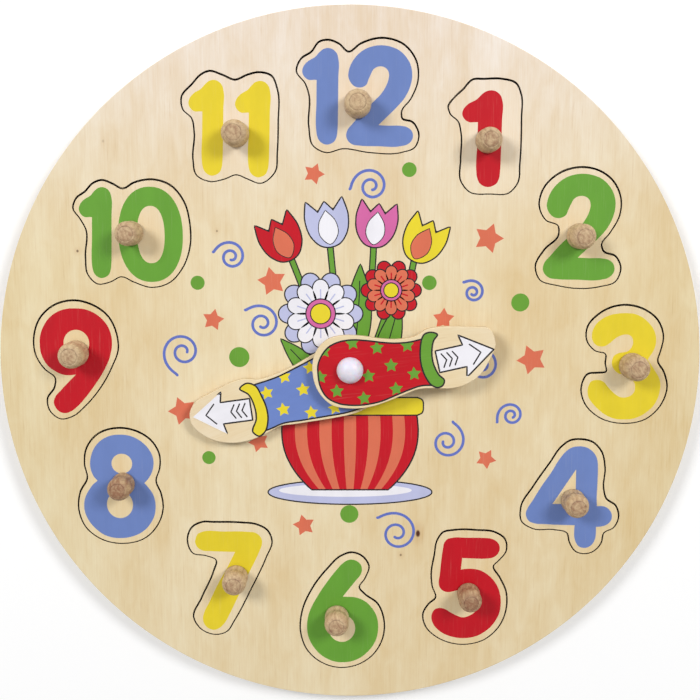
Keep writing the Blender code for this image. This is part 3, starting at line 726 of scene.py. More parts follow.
def put_at(loop, x, y, turn=0.0, size=1.0):
    """The loop scaled, turned by degrees and moved to its place."""
    c, s = math.cos(math.radians(turn)) * size, math.sin(math.radians(turn)) * size
    return np.asarray(loop) @ np.array([[c, s], [-s, c]]) + (x, y)


def oval(x, y, half_width, half_height, points=72):
    """Ellipse, counter-clockwise."""
    return circle(1.0, points) * (half_width, half_height) + (x, y)


def petal(length, width, start=0.0):
    """Petal along +Y: half width is sin a, fattened toward the tip as its height grows."""
    a = np.arange(48) * math.tau / 48
    rise = (1 - np.cos(a)) / 2
    return np.column_stack([width / 2 * np.sin(a) * (0.62 + 0.55 * rise),
                            start + length * rise])


def arc_path(points, count=48):
    """Open smooth path: the quadratic curve drawn by three points."""
    a, b, c = np.array(points, dtype=float)
    t = np.linspace(0, 1, count)[:, None]
    return (1 - t) ** 2 * a + 2 * t * (1 - t) * b + t**2 * c


def pot_half_width(y):
    """Half width of the pot at a height: nearly upright at first, then drawn in."""
    down = (POT_TOP - y) / (POT_TOP - POT_BOTTOM)
    return 28.4 + 2.2 * np.sin(math.pi * 0.8 * down) - 13.0 * down**2.4


def pot_band(left, right):
    """Part of the pot between two shares of its half width."""
    y = np.linspace(POT_TOP, POT_BOTTOM, 30)
    near, far = (np.column_stack([share * pot_half_width(y), y]) for share in (left, right))
    return np.vstack([near, far[::-1]])


for stem in (((-4, -12), (-15, 22), (-25.5, 48)), ((-1, -12), (-6, 25), (-8.5, 53)),
             ((2, -12), (9, 22), (10, 53)), ((4, -12), (21, 10), (27.5, 48)),
             ((-2, -12), (-8, 0), (-12.5, 20)), ((2, -12), (10, 5), (17.5, 30))):
    draw(LEAF_GREEN, ribbon(arc_path(stem), 1.9), 2, 0.55)
leaf = smooth_outline(LEAF, 0.8, [0])
vein = arc_path(((0.2, 2), (1.4, 18), (0.9, 33)))
for x, y, turn, size in ((-7, -14, 42, 0.86), (8, -14, -40, 0.86), (-9, -8, 14, 0.95),
                         (10, -8, -16, 0.95), (1.5, 4, -3, 1.0)):
    draw(LEAF_GREEN, put_at(leaf, x, y, turn, size), 4, 0.55)
    draw(LINE_BLACK, ribbon(put_at(vein, x, y, turn, size), 0.45), 5)
tulip = smooth_outline(TULIP, 0.6, TULIP_TIPS)
front = smooth_outline(TULIP_FRONT, 0.6, [0])
for x, y, turn, size, outer, inner in (
        (-29, 54.5, 26, 0.94, PICTURE_RED, SALMON), (-9.5, 61, 9, 0.96, LAVENDER, PICTURE_WHITE),
        (11, 60.5, -8, 0.92, ORCHID, PICTURE_WHITE), (31, 54, -26, 0.94, LEMON, SALMON)):
    draw(outer, put_at(tulip, x, y, turn, size), 6, 0.6)
    draw(inner, put_at(front, x, y, turn, size), 8, 0.35)
for x, y, size, outer, inner in ((-12.5, 23, 0.82, LAVENDER, PICTURE_WHITE),
                                 (17.5, 33, 0.58, PICTURE_RED, SALMON)):
    for turn in PETAL_TURNS:
        draw(outer, put_at(petal(17.0, 10.4, 4.6), x, y, turn + 18, size), 10, 0.55)
    for turn in PETAL_TURNS:
        draw(inner, put_at(petal(14.0, 8.6, 3.6), x, y, turn, size), 12, 0.5)
        stroke = put_at([(0, 8.0), (0, 10.0), (0, 12.5)], x, y, turn, size)
        draw(outer, ribbon(stroke, 0.6), 13)
    draw(ORCHID, oval(x, y, 7.4 * size, 7.4 * size), 14, 0.5)
    draw(LEMON, oval(x, y, 5.0 * size, 5.0 * size), 16, 0.45)
draw(LAVENDER, oval(0, -55.4, 35.5, 5.2, points=120), 6, 0.6)
draw(PICTURE_WHITE, oval(-2, -54.6, 29.0, 2.9, points=120), 7)
draw(SALMON, pot_band(-1.0, 1.0), 9, 0.65)
edges = np.linspace(-1, 1, POT_STRIPES + 1)
for left, right in zip(edges[::2], edges[1::2]):
    draw(PICTURE_RED, pot_band(left, right), 10)
draw(LEMON, smooth_outline(POT_RIM, 0.8, POT_RIM_CORNERS), 12, 0.6)
PICTURE_NAMES = {LINE_BLACK: "line", PICTURE_RED: "red", PICTURE_WHITE: "white",
                 LAVENDER: "lavender", ORCHID: "orchid", LEMON: "lemon", SALMON: "salmon",
                 LEAF_GREEN: "green"}
for colour, shapes in picture.items():
    make_piece("picture_" + PICTURE_NAMES[colour], shapes, ink(colour, 0.07), "board",
               "plywood")

# Number blocks
# The twelve pieces that the saw freed, each with its edges sanded. They lie in their own
# holes, a little toward the six, and their grain still runs with the face sheet's.

SETTLE = 0.35 * SAW_CUT
BLOCK_EASE = 0.18 * MM
block_wood = plywood("block_wood", FACE_BOTTOM, FACE_PLY, 5.0, (243, 230, 206), (226, 199, 156),
                     figure=0.95)
add_scorch_and_shade(block_wood)
for number in SAW_LINE_SHARES:
    outline = grown(saw_line(number), -SAW_CUT / 2) - (0, SETTLE)
    block = make_piece(f"number_{number}_wood", [plate(outline, FACE_BOTTOM, FACE_TOP,
                                                       ease=BLOCK_EASE)],
                       block_wood, f"number_{number}", "plywood", f"number_{number}_block")
    mark(block, "scorch_and_shade", scorched_and_shaded(block, BLOCK_EASE))

# Printed numbers
# One flat colour on each block, screen-printed over the veneer before the board was sawn.
# The four colours follow each other round the dial, from blue on the twelve.

NUMBER_BLUE = (108, 131, 190)
NUMBER_RED = (191, 8, 28)
NUMBER_GREEN = (100, 157, 51)
NUMBER_YELLOW = (229, 206, 44)
NUMBER_COLOURS = (NUMBER_BLUE, NUMBER_RED, NUMBER_GREEN, NUMBER_YELLOW)
# A one and a two on the unit square, clockwise from the top, and the number of each one's
# sharp corner
ONE = ((0.695, 1), (0.847, 0.986), (0.957, 0.942), (1, 0.883), (0.995, 0.691), (0.983, 0.327),
       (0.97, 0.155), (0.95, 0.091), (0.89, 0.038), (0.777, 0.009), (0.67, 0), (0.557, 0.012),
       (0.457, 0.045), (0.397, 0.103), (0.377, 0.167), (0.39, 0.455), (0.397, 0.673),
       (0.31, 0.673), (0.183, 0.673), (0.07, 0.701), (0.003, 0.755), (0.043, 0.814), (0.15, 0.86),
       (0.363, 0.909), (0.483, 0.958), (0.583, 0.988))
ONE_CORNER = [16]
TWO = ((0.201, 0.585), (0.126, 0.597), (0.067, 0.636), (0.033, 0.693), (0.047, 0.769),
       (0.097, 0.845), (0.18, 0.913), (0.291, 0.966), (0.41, 0.993), (0.532, 1), (0.665, 0.986),
       (0.786, 0.951), (0.876, 0.897), (0.942, 0.83), (0.978, 0.749), (0.975, 0.656),
       (0.942, 0.575), (0.86, 0.472), (0.755, 0.391), (0.606, 0.292), (0.482, 0.211),
       (0.622, 0.206), (0.817, 0.204), (0.906, 0.192), (0.978, 0.155), (1, 0.103), (0.982, 0.059),
       (0.921, 0.02), (0.817, 0), (0.471, 0), (0.201, 0.006), (0.097, 0.017), (0.029, 0.053),
       (0, 0.103), (0.022, 0.165), (0.097, 0.226), (0.201, 0.31), (0.367, 0.42), (0.426, 0.457),
       (0.516, 0.518), (0.59, 0.595), (0.626, 0.656), (0.637, 0.717), (0.615, 0.759),
       (0.554, 0.789), (0.471, 0.79), (0.403, 0.762), (0.367, 0.717), (0.327, 0.656),
       (0.306, 0.618), (0.264, 0.595))
TWO_CORNER = [20]


def rounded_box(x, y, half_width, half_height, power):
    """Superellipse, between an ellipse at power 2 and a rectangle."""
    a = np.arange(96) * math.tau / 96
    c, s = np.cos(a), np.sin(a)
    return np.column_stack([x + half_width * np.sign(c) * np.abs(c) ** (2 / power),
                            y + half_height * np.sign(s) * np.abs(s) ** (2 / power)])


# The other figures in millimetres on the board: outline, numbers of the outline's sharp
# corners, and holes
DRAWN = {
    3: (((118, 23.25), (121.3, 22.9), (124.25, 21.75), (127.2, 19.5), (129.7, 16.4),
         (130.9, 13.1), (131, 10.2), (130.1, 7), (128.3, 4.1), (127.8, 3.1), (129.7, 0.4),
         (131.5, -2.3), (133, -4.8), (133.7, -7.75), (133.5, -10.7), (132.8, -13.6),
         (131.1, -16.9), (128.4, -19.6), (125.5, -21.5), (122.2, -22.7), (118.6, -23),
         (114.7, -22.7), (110.7, -21.1), (107.6, -18.8), (104.9, -16.1), (103, -13.4),
         (102.4, -10.7), (102.8, -8.2), (103.8, -6.3), (105.5, -5.7), (107.6, -5.75),
         (109.5, -6.7), (110.9, -8.4), (112.6, -10.25), (114.7, -12.1), (116.75, -13.2),
         (119, -13.25), (121.1, -12.5), (122.4, -11.1), (122.8, -9), (122.4, -6.9),
         (120.9, -5.25), (118.8, -4), (117.8, -3.25), (115.9, -3), (113.8, -1.5), (112.6, 0.6),
         (112.5, 2.7), (113.2, 4.75), (114.9, 5.9), (117.2, 6.4), (118.8, 6.7), (120.1, 7.7),
         (121, 9.3), (121.2, 11), (120.7, 12.7), (119.5, 13.8), (117.2, 14), (115.1, 13.3),
         (113, 11.9), (111.1, 10.2), (109.25, 9.1), (107.2, 8.9), (105.1, 9.75), (103.8, 11.6),
         (103.5, 13.9), (104, 16.4), (105.5, 18.9), (108, 21), (111.3, 22.5), (114.7, 23.1)),
        [9], []),
    4: (((99.9, -34.9), (102.6, -35.3), (105.1, -36.8), (107, -39.1), (107.9, -42),
         (108.1, -45.3), (108.1, -52), (108, -57.8), (108.2, -61.8), (110.1, -61.7),
         (112.2, -62.2), (114, -63.7), (114.9, -65.75), (114.7, -68), (113.2, -69.9),
         (111.1, -70.8), (108.1, -71.2), (108.2, -74.1), (107.8, -77), (106.5, -79.3),
         (104.7, -80.5), (103, -80.75), (100.9, -80.1), (99.5, -78.25), (98.75, -75.75),
         (98.6, -73.25), (98.7, -70.4), (94.7, -70.3), (85.5, -69.9), (80.9, -69.5),
         (78.6, -68.5), (77.4, -66.6), (77.2, -64.5), (78, -62.4), (79.9, -59.3), (83.8, -52.6),
         (88, -46.2), (91.3, -40.5), (93.4, -37.75), (95.9, -35.7)),
        [8, 16, 26], [np.array([(98.6, -45.2), (88.7, -60.75), (98.8, -60.75)])]),
    5: (((45.3, -76.1), (51.2, -76.1), (58.7, -76.2), (62, -76.5), (64.5, -77.7), (65.8, -79.5),
         (66, -81.4), (65.1, -83.7), (63, -85.2), (59.5, -85.7), (54.5, -85.6), (49.6, -85.4),
         (49.3, -88.1), (49, -90.7), (51.2, -90.4), (54.5, -90.4), (57.4, -91), (60.75, -92.9),
         (63.7, -95.8), (65.75, -99.3), (66.8, -103.1), (67, -106.8), (66.4, -111),
         (64.9, -114.3), (62.8, -117.25), (59.9, -119.75), (56.6, -121.6), (52.8, -122.5),
         (49.1, -122.6), (45.3, -121.9), (42, -120.6), (39.1, -118.5), (37, -115.8),
         (36.25, -113.1), (36.6, -110.8), (37.8, -109.1), (39.9, -108.5), (42, -108.9),
         (44.5, -110.4), (47.4, -112), (50.3, -112.9), (52.8, -112.25), (55.3, -110.6),
         (57, -107.7), (57.75, -105.2), (57.4, -103.1), (55.75, -101), (52.8, -99.75),
         (50.3, -99.75), (47.2, -100.4), (43.25, -101.1), (41.4, -100.6), (39.9, -99.1),
         (39.3, -96.8), (39.7, -93.5), (40.3, -86.8), (41, -81), (41.5, -78.5), (42.8, -76.8)),
        [11, 13], []),
    6: (((0.33, -86.1), (2.8, -86.7), (4.7, -88.4), (5.3, -90.5), (4.7, -93), (2.8, -95.5),
         (-0.1, -99.2), (-3.2, -103.25), (-1.3, -103.3), (2, -103.5), (4.9, -104.4),
         (7.8, -106.3), (10.1, -109), (11.8, -112.3), (12.5, -115.7), (12.5, -119),
         (11.8, -122.75), (10.1, -126.3), (7.6, -129.4), (4.5, -131.9), (1.2, -133.4),
         (-2.6, -134), (-6.3, -133.8), (-9.9, -132.5), (-13, -130.5), (-15.9, -127.3),
         (-18, -123.6), (-19, -119.8), (-19.1, -115.7), (-18.4, -111.5), (-16.75, -107.3),
         (-14.25, -102.75), (-10.5, -96.9), (-6.3, -91.3), (-3.4, -88), (-1.5, -86.6)),
        [7], [rounded_box(-3.6, -118, 5.9, 6.4, 2)]),
    7: (((-65, -73.4), (-56, -73.25), (-45.2, -73.4), (-41.8, -73.8), (-39.75, -75.25),
         (-38.8, -77.3), (-38.9, -79.4), (-40, -82.3), (-42.25, -87.3), (-45.2, -93.2),
         (-49.3, -102.3), (-53.5, -111.1), (-56, -115.7), (-58.1, -117.75), (-60.4, -118.7),
         (-63.1, -118), (-65, -115.9), (-65.5, -113.2), (-64.75, -110.25), (-62.7, -106.1),
         (-58.5, -97.3), (-54.3, -89.8), (-51.8, -84.8), (-50.7, -82.6), (-54.3, -82.5),
         (-61.8, -82.2), (-65.2, -81.9), (-67.25, -80.5), (-68.2, -78.4), (-67.9, -76.1),
         (-66.8, -74.2)),
        [23], []),
    8: (((-99.6, -29.7), (-96.1, -30.1), (-92.75, -31.4), (-89.4, -33.9), (-87.1, -36.8),
         (-85.8, -39.9), (-85.6, -42.8), (-86.3, -46.2), (-88, -49.3), (-89.8, -51.3),
         (-88, -53.5), (-86.3, -56.2), (-85.4, -59.1), (-85.2, -62), (-85.75, -65.75),
         (-87.3, -69.1), (-89.8, -72.2), (-93.2, -74.5), (-96.9, -75.8), (-100.7, -76.25),
         (-104.4, -76), (-108.2, -74.7), (-111.5, -72.2), (-114.4, -68.7), (-116.1, -64.9),
         (-116.5, -61.4), (-116, -58.25), (-114.4, -54.9), (-112.3, -52), (-110.25, -50.25),
         (-111.7, -48.5), (-113, -45.3), (-113.2, -42), (-112.6, -38.9), (-111.1, -35.5),
         (-108.6, -32.6), (-105.7, -30.8), (-102.75, -29.9)),
        [9, 29], [rounded_box(-99.4, -42.6, 4.5, 4.4, 2),
                  rounded_box(-100.8, -61, 5.7, 6.15, 2)]),
    9: (((-116.8, 25.3), (-113.1, 24.9), (-109.3, 23.4), (-106, 20.9), (-103.5, 17.6),
         (-102.2, 13.8), (-101.9, 10.1), (-102.5, 6.3), (-103.7, 2.6), (-106, -2), (-109.3, -7),
         (-113.5, -12.6), (-117.7, -17.2), (-120.6, -19.4), (-123.3, -20.2), (-125.6, -19.5),
         (-127.25, -17.6), (-127.9, -15.3), (-127, -12.8), (-124.75, -10.3), (-121.4, -6.8),
         (-117.9, -3.3), (-120.6, -3.6), (-123.9, -3.2), (-126.8, -1.8), (-129.5, 0.3),
         (-131.4, 3), (-132.5, 5.9), (-132.9, 9.7), (-132.5, 13.8), (-131, 17.6), (-128.7, 20.9),
         (-125.6, 23.4), (-121.4, 25)),
        [21], [rounded_box(-117.2, 10.3, 5.5, 5.8, 2)]),
}


def boxed(shares, corners, left, bottom, width, height, lean=0.0):
    """A figure drawn on the unit square, set into its box in millimetres, its top moved
    right by the lean."""
    u, v = np.array(shares).T
    fitted = np.column_stack([left + width * u + lean * v, bottom + height * v])
    return smooth_outline(fitted, PRINT_STEP / MM, corners)


figures = {
    12: [(boxed(ONE, ONE_CORNER, -19.75, 93.75, 15.0, 39.0), []),
         (boxed(TWO, TWO_CORNER, -1.6, 93.1, 27.8, 40.7), [])],
    1: [(boxed(ONE, ONE_CORNER, 46.5, 76.3, 16.7, 39.5), [])],
    2: [(boxed(TWO, TWO_CORNER, 81.7, 37.5, 30.4, 44.3), [])],
    10: [(boxed(ONE, ONE_CORNER, -114.6, 38.2, 13.8, 38.1, 0.8), []),
         (rounded_box(-84.1, 56.5, 13.6, 19.95, 2.2),
          [rounded_box(-84.0, 56.5, 5.8, 12.0, 2.3)])],
    11: [(boxed(ONE, ONE_CORNER, -67.5, 81.0, 14.6, 39.0, 0.7), []),
         (boxed(ONE, ONE_CORNER, -48.2, 80.3, 14.6, 39.3, 0.7), [])],
}
for number, (points, corners, inner) in DRAWN.items():
    figures[number] = [(smooth_outline(points, PRINT_STEP / MM, corners), inner)]
for number, shapes in figures.items():
    make_piece(f"number_{number}_print",
               [film(loop * MM, 2, holes=[hole * MM for hole in holes])
                for loop, holes in shapes],
               ink(NUMBER_COLOURS[number % 4]), f"number_{number}", "plywood")

# Knobs and screws
# Turned hardwood pegs, a little different from each other, with end grain on the flat top.
# A small countersunk screw from under the block holds each one.

KNOB_RADIUS = 5.7 * MM
KNOB_BOTTOM = 8.6 * MM
KNOB_HEIGHT = 11.8 * MM
KNOB_BORE = 1.7 * MM
KNOB_BORE_DEPTH = 7.3 * MM
KNOB_FACETS = 64
KNOB_BEIGE = (216, 190, 150)
KNOB_BROWN = (146, 104, 78)
# Dark brown of the painted shade, with some grime, in the knob's turned line, waist and foot
KNOB_GRIME_AND_SHADE = (74, 48, 36)
KNOB_PORE = (118, 80, 58)
# The turned wood's patterns, and how fast its growth rings follow along x, y and z, in
# radians to the metre
KNOB_FIBRE = ((520, 520, 160), 4.0, 0.6)
KNOB_PORES = ((2200, 2200, 900), 2.0)
KNOB_BEND = ((190, 190, 90), 3.0, 0.5)
RING_PACE = (2600.0, 1560.0, 910.0)
# The end grain on top: how far out it reaches and over how much it fades, in radii
END_GRAIN_REACH, END_GRAIN_FADE = 0.80, 0.25
# The outside from the top down, as shares of the radius and the height: a flat top inside a
# shallow turned line, a round shoulder, a slight waist and a foot that flares
KNOB_OUTSIDE = ((0.30, 1.0), (0.53, 0.999), (0.56, 0.986), (0.585, 0.983), (0.615, 0.989),
                (0.67, 0.975), (0.75, 0.940), (0.83, 0.885), (0.89, 0.82), (0.93, 0.745),
                (0.948, 0.67), (0.945, 0.60), (0.92, 0.52), (0.885, 0.44), (0.872, 0.36),
                (0.885, 0.28), (0.925, 0.195), (0.955, 0.125), (0.962, 0.07), (0.95, 0.02),
                (0.92, 0.0))
# How much painted shade, with some grime, each of those places gets, from 0 to 1: most in the
# turned line and at the foot where the knob meets the block, a little in the waist
KNOB_GRIME_AND_SHADE_SHARES = (0, 0, 0.65, 0.65, 0.05, 0, 0, 0, 0, 0, 0, 0.1, 0.2, 0.25, 0.2, 0.1, 0, 0.1, 0.35,
               0.7, 0.9)
# How brown each knob is, from 0 to 1, and its girth as a share of the usual one
KNOB_LOOKS = {12: (0.10, 1.035), 1: (0.30, 0.94), 2: (0.20, 0.98), 3: (0.30, 1.02),
              4: (0.35, 0.97), 5: (0.78, 0.93), 6: (0.25, 0.98), 7: (0.25, 0.97),
              8: (0.78, 0.94), 9: (0.15, 1.02), 10: (0.25, 0.95), 11: (0.20, 1.0)}


def turned(profile, middle, facets=KNOB_FACETS):
    """Solid of revolution round an upright line. Between its two ends, which are single
    points on the axis, it is a grid of the profile's (radius, height) i by angle j."""
    grid = turned_grid(profile[1:-1], facets, middle)
    points = np.vstack([grid, [(*middle, profile[0][1])], [(*middle, profile[-1][1])]])
    ring = np.arange(facets)
    following = np.roll(ring, -1)
    last = len(grid) - facets
    first_end, last_end = np.full(facets, len(grid)), np.full(facets, len(grid) + 1)
    tops = np.column_stack([first_end, ring, following])
    ends = np.column_stack([last_end, last + following, last + ring])
    return points, [(quads_between(len(profile) - 2, facets), True), (tops, True),
                    (ends, True)]


def new_turned_group():
    """Hardwood turned on the lathe: uneven growth rings that show as arches round the
    shoulder, short fibres and pores, and a darker, rougher end grain on top. Where the points
    are marked it darkens with painted shade and some grime."""
    tree, given, out = new_group("turned_figure", Tone=0.5, End=0.0, Grime=0.0,
                                 Beige=light(KNOB_BEIGE), Brown=light(KNOB_BROWN))
    fibre, pores, bent = (grain(tree, given["Vector"], *pattern)
                          for pattern in (KNOB_FIBRE, KNOB_PORES, KNOB_BEND))
    ring = weighed(tree, 0.0, *zip(split(tree, given["Vector"]), RING_PACE), (bent, 26.0))
    tone = weighed(tree, -0.75, (fibre, 1.5), (maths(tree, "SINE", ring), 0.13),
                   (given["Tone"], 0.75), (given["End"], 0.22))
    colour = blend(tree, spread(tree, tone, -0.3, 1.15), given["Beige"], given["Brown"])
    dots = spread(tree, pores, 0.60, 0.72, 0.0, 0.55)
    colour = blend(tree, dots, colour, light(KNOB_PORE))
    # Painted shade with some grime: the marked places darken toward the dark brown, by an amount
    # that varies with the fibres
    grime_and_shade_amount = maths(tree, "MULTIPLY", given["Grime"], spread(tree, fibre, 0.3, 0.7, 0.35, 0.75))
    tree.links.new(blend(tree, grime_and_shade_amount, colour, light(KNOB_GRIME_AND_SHADE)), out["Color"])
    tree.links.new(weighed(tree, fibre, (pores, 0.5)), out["Height"])
    return tree


knob_wood = new_surface("knob_wood", new_turned_group(), {}, 0.55, bump=0.08 * MM,
                        Specular_IOR_Level=WOOD_GLOSS)
knob_tree = knob_wood.node_tree
knob_group = next(n for n in knob_tree.nodes if n.type == "GROUP")
for label in ("Tone", "End", "Grime"):
    read = wire(knob_tree, "ShaderNodeAttribute", attribute_name="knob_" + label.lower())
    knob_tree.links.new(read.outputs["Fac"], knob_group.inputs[label])

for number in SAW_LINE_SHARES:
    low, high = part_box(f"number_{number}_knob")
    middle = ((low.x + high.x) / 2, (low.y + high.y) / 2)
    brown, girth = KNOB_LOOKS[number]
    outside = [(r * girth * KNOB_RADIUS, KNOB_BOTTOM + z * KNOB_HEIGHT)
               for r, z in KNOB_OUTSIDE]
    profile = [(0.0, KNOB_BOTTOM + KNOB_HEIGHT), *outside, (KNOB_BORE, KNOB_BOTTOM),
               (KNOB_BORE, KNOB_BOTTOM + KNOB_BORE_DEPTH), (0.0, KNOB_BOTTOM + KNOB_BORE_DEPTH)]
    knob = make_piece(f"number_{number}_peg", [turned(profile, middle)], knob_wood,
                      f"number_{number}", "turned_wood", f"number_{number}_knob")
    spots = points_of(knob)
    far = np.hypot(spots[:, 0] - middle[0], spots[:, 1] - middle[1]) / (girth * KNOB_RADIUS)
    on_top = spots[:, 2] > KNOB_BOTTOM + 0.9 * KNOB_HEIGHT
    mark(knob, "knob_tone", np.full(len(spots), brown))
    mark(knob, "knob_end", np.clip((END_GRAIN_REACH - far) / END_GRAIN_FADE, 0, 1) * on_top)
    # Painted shade, with some grime, in the turned line, the waist and at the foot
    grime_and_shade = np.zeros(len(spots))
    grime_and_shade[:len(KNOB_GRIME_AND_SHADE_SHARES) * KNOB_FACETS] = np.repeat(KNOB_GRIME_AND_SHADE_SHARES, KNOB_FACETS)
    mark(knob, "knob_grime", grime_and_shade)


def new_moulded_group():
    """Moulded or drawn surface: one colour with faint clouds, and small lumps."""
    tree, given, out = new_group("moulded_figure", Base=(0.8, 0.8, 0.8, 1),
                                 Shade=(0.7, 0.7, 0.7, 1), Scale=400.0)
    clouds = wire(tree, "ShaderNodeTexNoise", {"Vector": given["Vector"], "Detail": 3.0,
                                               "Scale": given["Scale"]}).outputs["Fac"]
    tree.links.new(blend(tree, spread(tree, clouds, 0.3, 0.7), given["Base"],
                         given["Shade"]), out["Color"])
    tree.links.new(clouds, out["Height"])
    return tree


MOULDED_FIGURE = new_moulded_group()
screw_steel = new_surface("screw_steel", MOULDED_FIGURE, {
    "Base": light((196, 196, 200)), "Shade": light((168, 168, 174)), "Scale": 900.0}, 0.34,
    bump=0.01 * MM, Metallic=1.0)
for number in SAW_LINE_SHARES:
    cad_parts[f"number_{number}_screw"].material_slots[0].material = screw_steel

# Stud and washers
# White moulded nylon. The stud comes up through the board from its flange, and a washer
# keeps each hand off the wood below it.

nylon = new_surface("nylon", MOULDED_FIGURE, {
    "Base": light((237, 231, 243)), "Shade": light((229, 223, 236)), "Scale": 500.0}, 0.44,
    bump=0.01 * MM, Subsurface_Weight=0.35, Subsurface_Scale=3 * MM)
for node in ("pivot_stud", "lower_washer", "upper_washer"):
    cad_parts[node].material_slots[0].material = nylon

# Minute hand
# A thin wooden arm, bored near its round end, with a blue starry sleeve, a yellow cuff and a
# white pointer printed on it inside a bare border.

HAND_EASE = 0.28 * MM
HAND_LINE = 0.34 * MM
HAND_PALE = (244, 231, 208)
HAND_DEEP = (228, 202, 160)
MINUTE_HAND_LENGTH = 72 * MM
# Degrees anticlockwise from the three
MINUTE_HAND_REST = 201.5
MINUTE_HAND_BOTTOM, MINUTE_HAND_TOP = 9.9 * MM, 12.9 * MM
SLEEVE_BLUE = (108, 132, 196)
# The outline in hand lengths from the pivot, along the hand and to its left
MINUTE_HAND_SHARES = (
    (1.0, -0.04), (0.985, -0.1), (0.925, -0.15), (0.835, -0.165), (0.75, -0.175),
    (0.665, -0.18), (0.6, -0.17), (0.535, -0.14), (0.43, -0.13), (0.32, -0.135),
    (0.22, -0.15), (0.11, -0.165), (0, -0.175), (-0.11, -0.16), (-0.185, -0.095),
    (-0.21, 0.01), (-0.185, 0.14), (-0.085, 0.235), (0.04, 0.261), (0.195, 0.242),
    (0.32, 0.215), (0.43, 0.19), (0.515, 0.17), (0.6, 0.18), (0.695, 0.185),
    (0.79, 0.17), (0.88, 0.13), (0.96, 0.055),
)
# The print at rest, in millimetres on the board, and which of the sleeve's points are sharp
BLUE_SLEEVE = ((-4.1, 10.5), (-9.2, 7.8), (-15.5, 4.4), (-23.4, 0.2), (-31.3, -3.7),
               (-40.7, -6.9), (-40.0, -17.0), (-38.0, -27.2), (-35.5, -26.6), (-28.6, -23.7),
               (-20.7, -22.4), (-10.2, -20.6), (0, -18.6), (7.5, -15.6), (12.6, -10.6),
               (14.6, -3.6), (13.6, 4.0), (9.6, 9.4), (2.6, 12.0))
BLUE_SLEEVE_CORNERS = (5, 7)
YELLOW_CUFF = ((-43.9, -6.3), (-40.7, -7.2), (-37.6, -12.2), (-35.5, -17.9), (-35.2, -23.2),
               (-36.5, -27.4), (-38.9, -29.3), (-41.5, -27.7), (-40.1, -21.6), (-41.0, -15.8),
               (-43.4, -11.1), (-47.0, -8.7))
YELLOW_STARS = ((-28.0, -3.5, 3.1, 12), (-17.0, 0.5, 3.1, 10), (-35.5, -10.5, 3.1, 14),
                (-20.0, -9.0, 3.1, 8), (-28.5, -17.7, 3.1, 10), (-16.5, -19.0, 3.1, 6),
                (-6.5, -17.0, 3.1, 12), (2.5, -12.5, 3.1, 30), (9.0, 2.0, 3.1, 10),
                (-6.0, 4.5, 3.1, 20), (6.0, -4.0, 3.1, 0))
BLUE_POINTER = ((-42.3, -17.6), (-67.2, -21.0))
POINTER_SHAFT, POINTER_HEAD, POINTER_HEAD_LENGTH = 4.7, 9.2, 13.5
POINTER_STROKE = 0.6


def pulled_inside(loop, outline, margin):
    """The loop's points that lie past the outline, moved back to its nearest point, a
    margin inside it."""
    edge, normal = outline, outward(outline)
    gap = loop[:, None, :] - edge[None, :, :]
    nearest = np.argmin((gap**2).sum(axis=2), axis=1)
    past = (gap[np.arange(len(loop)), nearest] * normal[nearest]).sum(axis=1)
    back = edge[nearest] - margin * normal[nearest]
    return np.where((past > -margin)[:, None], back, loop)


def band(loop, half_width, level, surface):
    """Line printed along a closed loop: the ground between the loop grown and shrunk."""
    return film(grown(loop, half_width), level, surface, [grown(loop, -half_width)])


def on_line(tail, tip, far, side):
    """Points set out along the line from tail to tip, and square to it."""
    along = np.subtract(tip, tail) / math.dist(tail, tip)
    return (np.array(tail) + np.array(far, dtype=float)[:, None] * along
            + np.array(side, dtype=float)[:, None] * np.array([-along[1], along[0]]))


def arrow(tail, tip):
    """Arrow between two points: seven corners, with barbs swept back a little."""
    length = math.dist(tail, tip)
    neck = length - POINTER_HEAD_LENGTH
    return on_line(tail, tip, [0, neck + 1, neck, length, neck, neck + 1, 0],
                   [-POINTER_SHAFT, -POINTER_SHAFT, -POINTER_HEAD, 0, POINTER_HEAD,
                    POINTER_SHAFT, POINTER_SHAFT])


def feathers(tail, tip):
    """Strokes on the arrow: three chevrons on its shaft, and one in its head."""
    strokes = []
    for far, half, sweep in ((2.2, 2.9, 1.7), (4.6, 2.9, 1.7), (7.0, 2.9, 1.7),
                             (math.dist(tail, tip) - 9.6, 4.3, 4.0)):
        side = np.linspace(-half, half, 21)
        strokes.append(ribbon(on_line(tail, tip, far + sweep * (1 - np.abs(side) / half), side),
                              POINTER_STROKE))
    return strokes


def make_hand(name, slot, shares, length, rest, bottom, top):
    """The hand's wood: its outline turned to where it rests, bored for the stud. Its grain
    runs along it."""
    outline = put_at(smooth_outline(np.array(shares) * length, OUTLINE_STEP), 0, 0, rest)
    blank = plate(outline, bottom, top, [circle(PIVOT_HOLE_RADIUS, HOLE_POINTS)], HAND_EASE)
    wood = plywood(name + "_wood", bottom, FACE_PLY, 3.0, HAND_PALE, HAND_DEEP, figure=0.9,
                   bump=0.02 * MM, turn=math.radians(90 - rest))
    make_piece(name + "_wood", [blank], wood, name, slot, name)


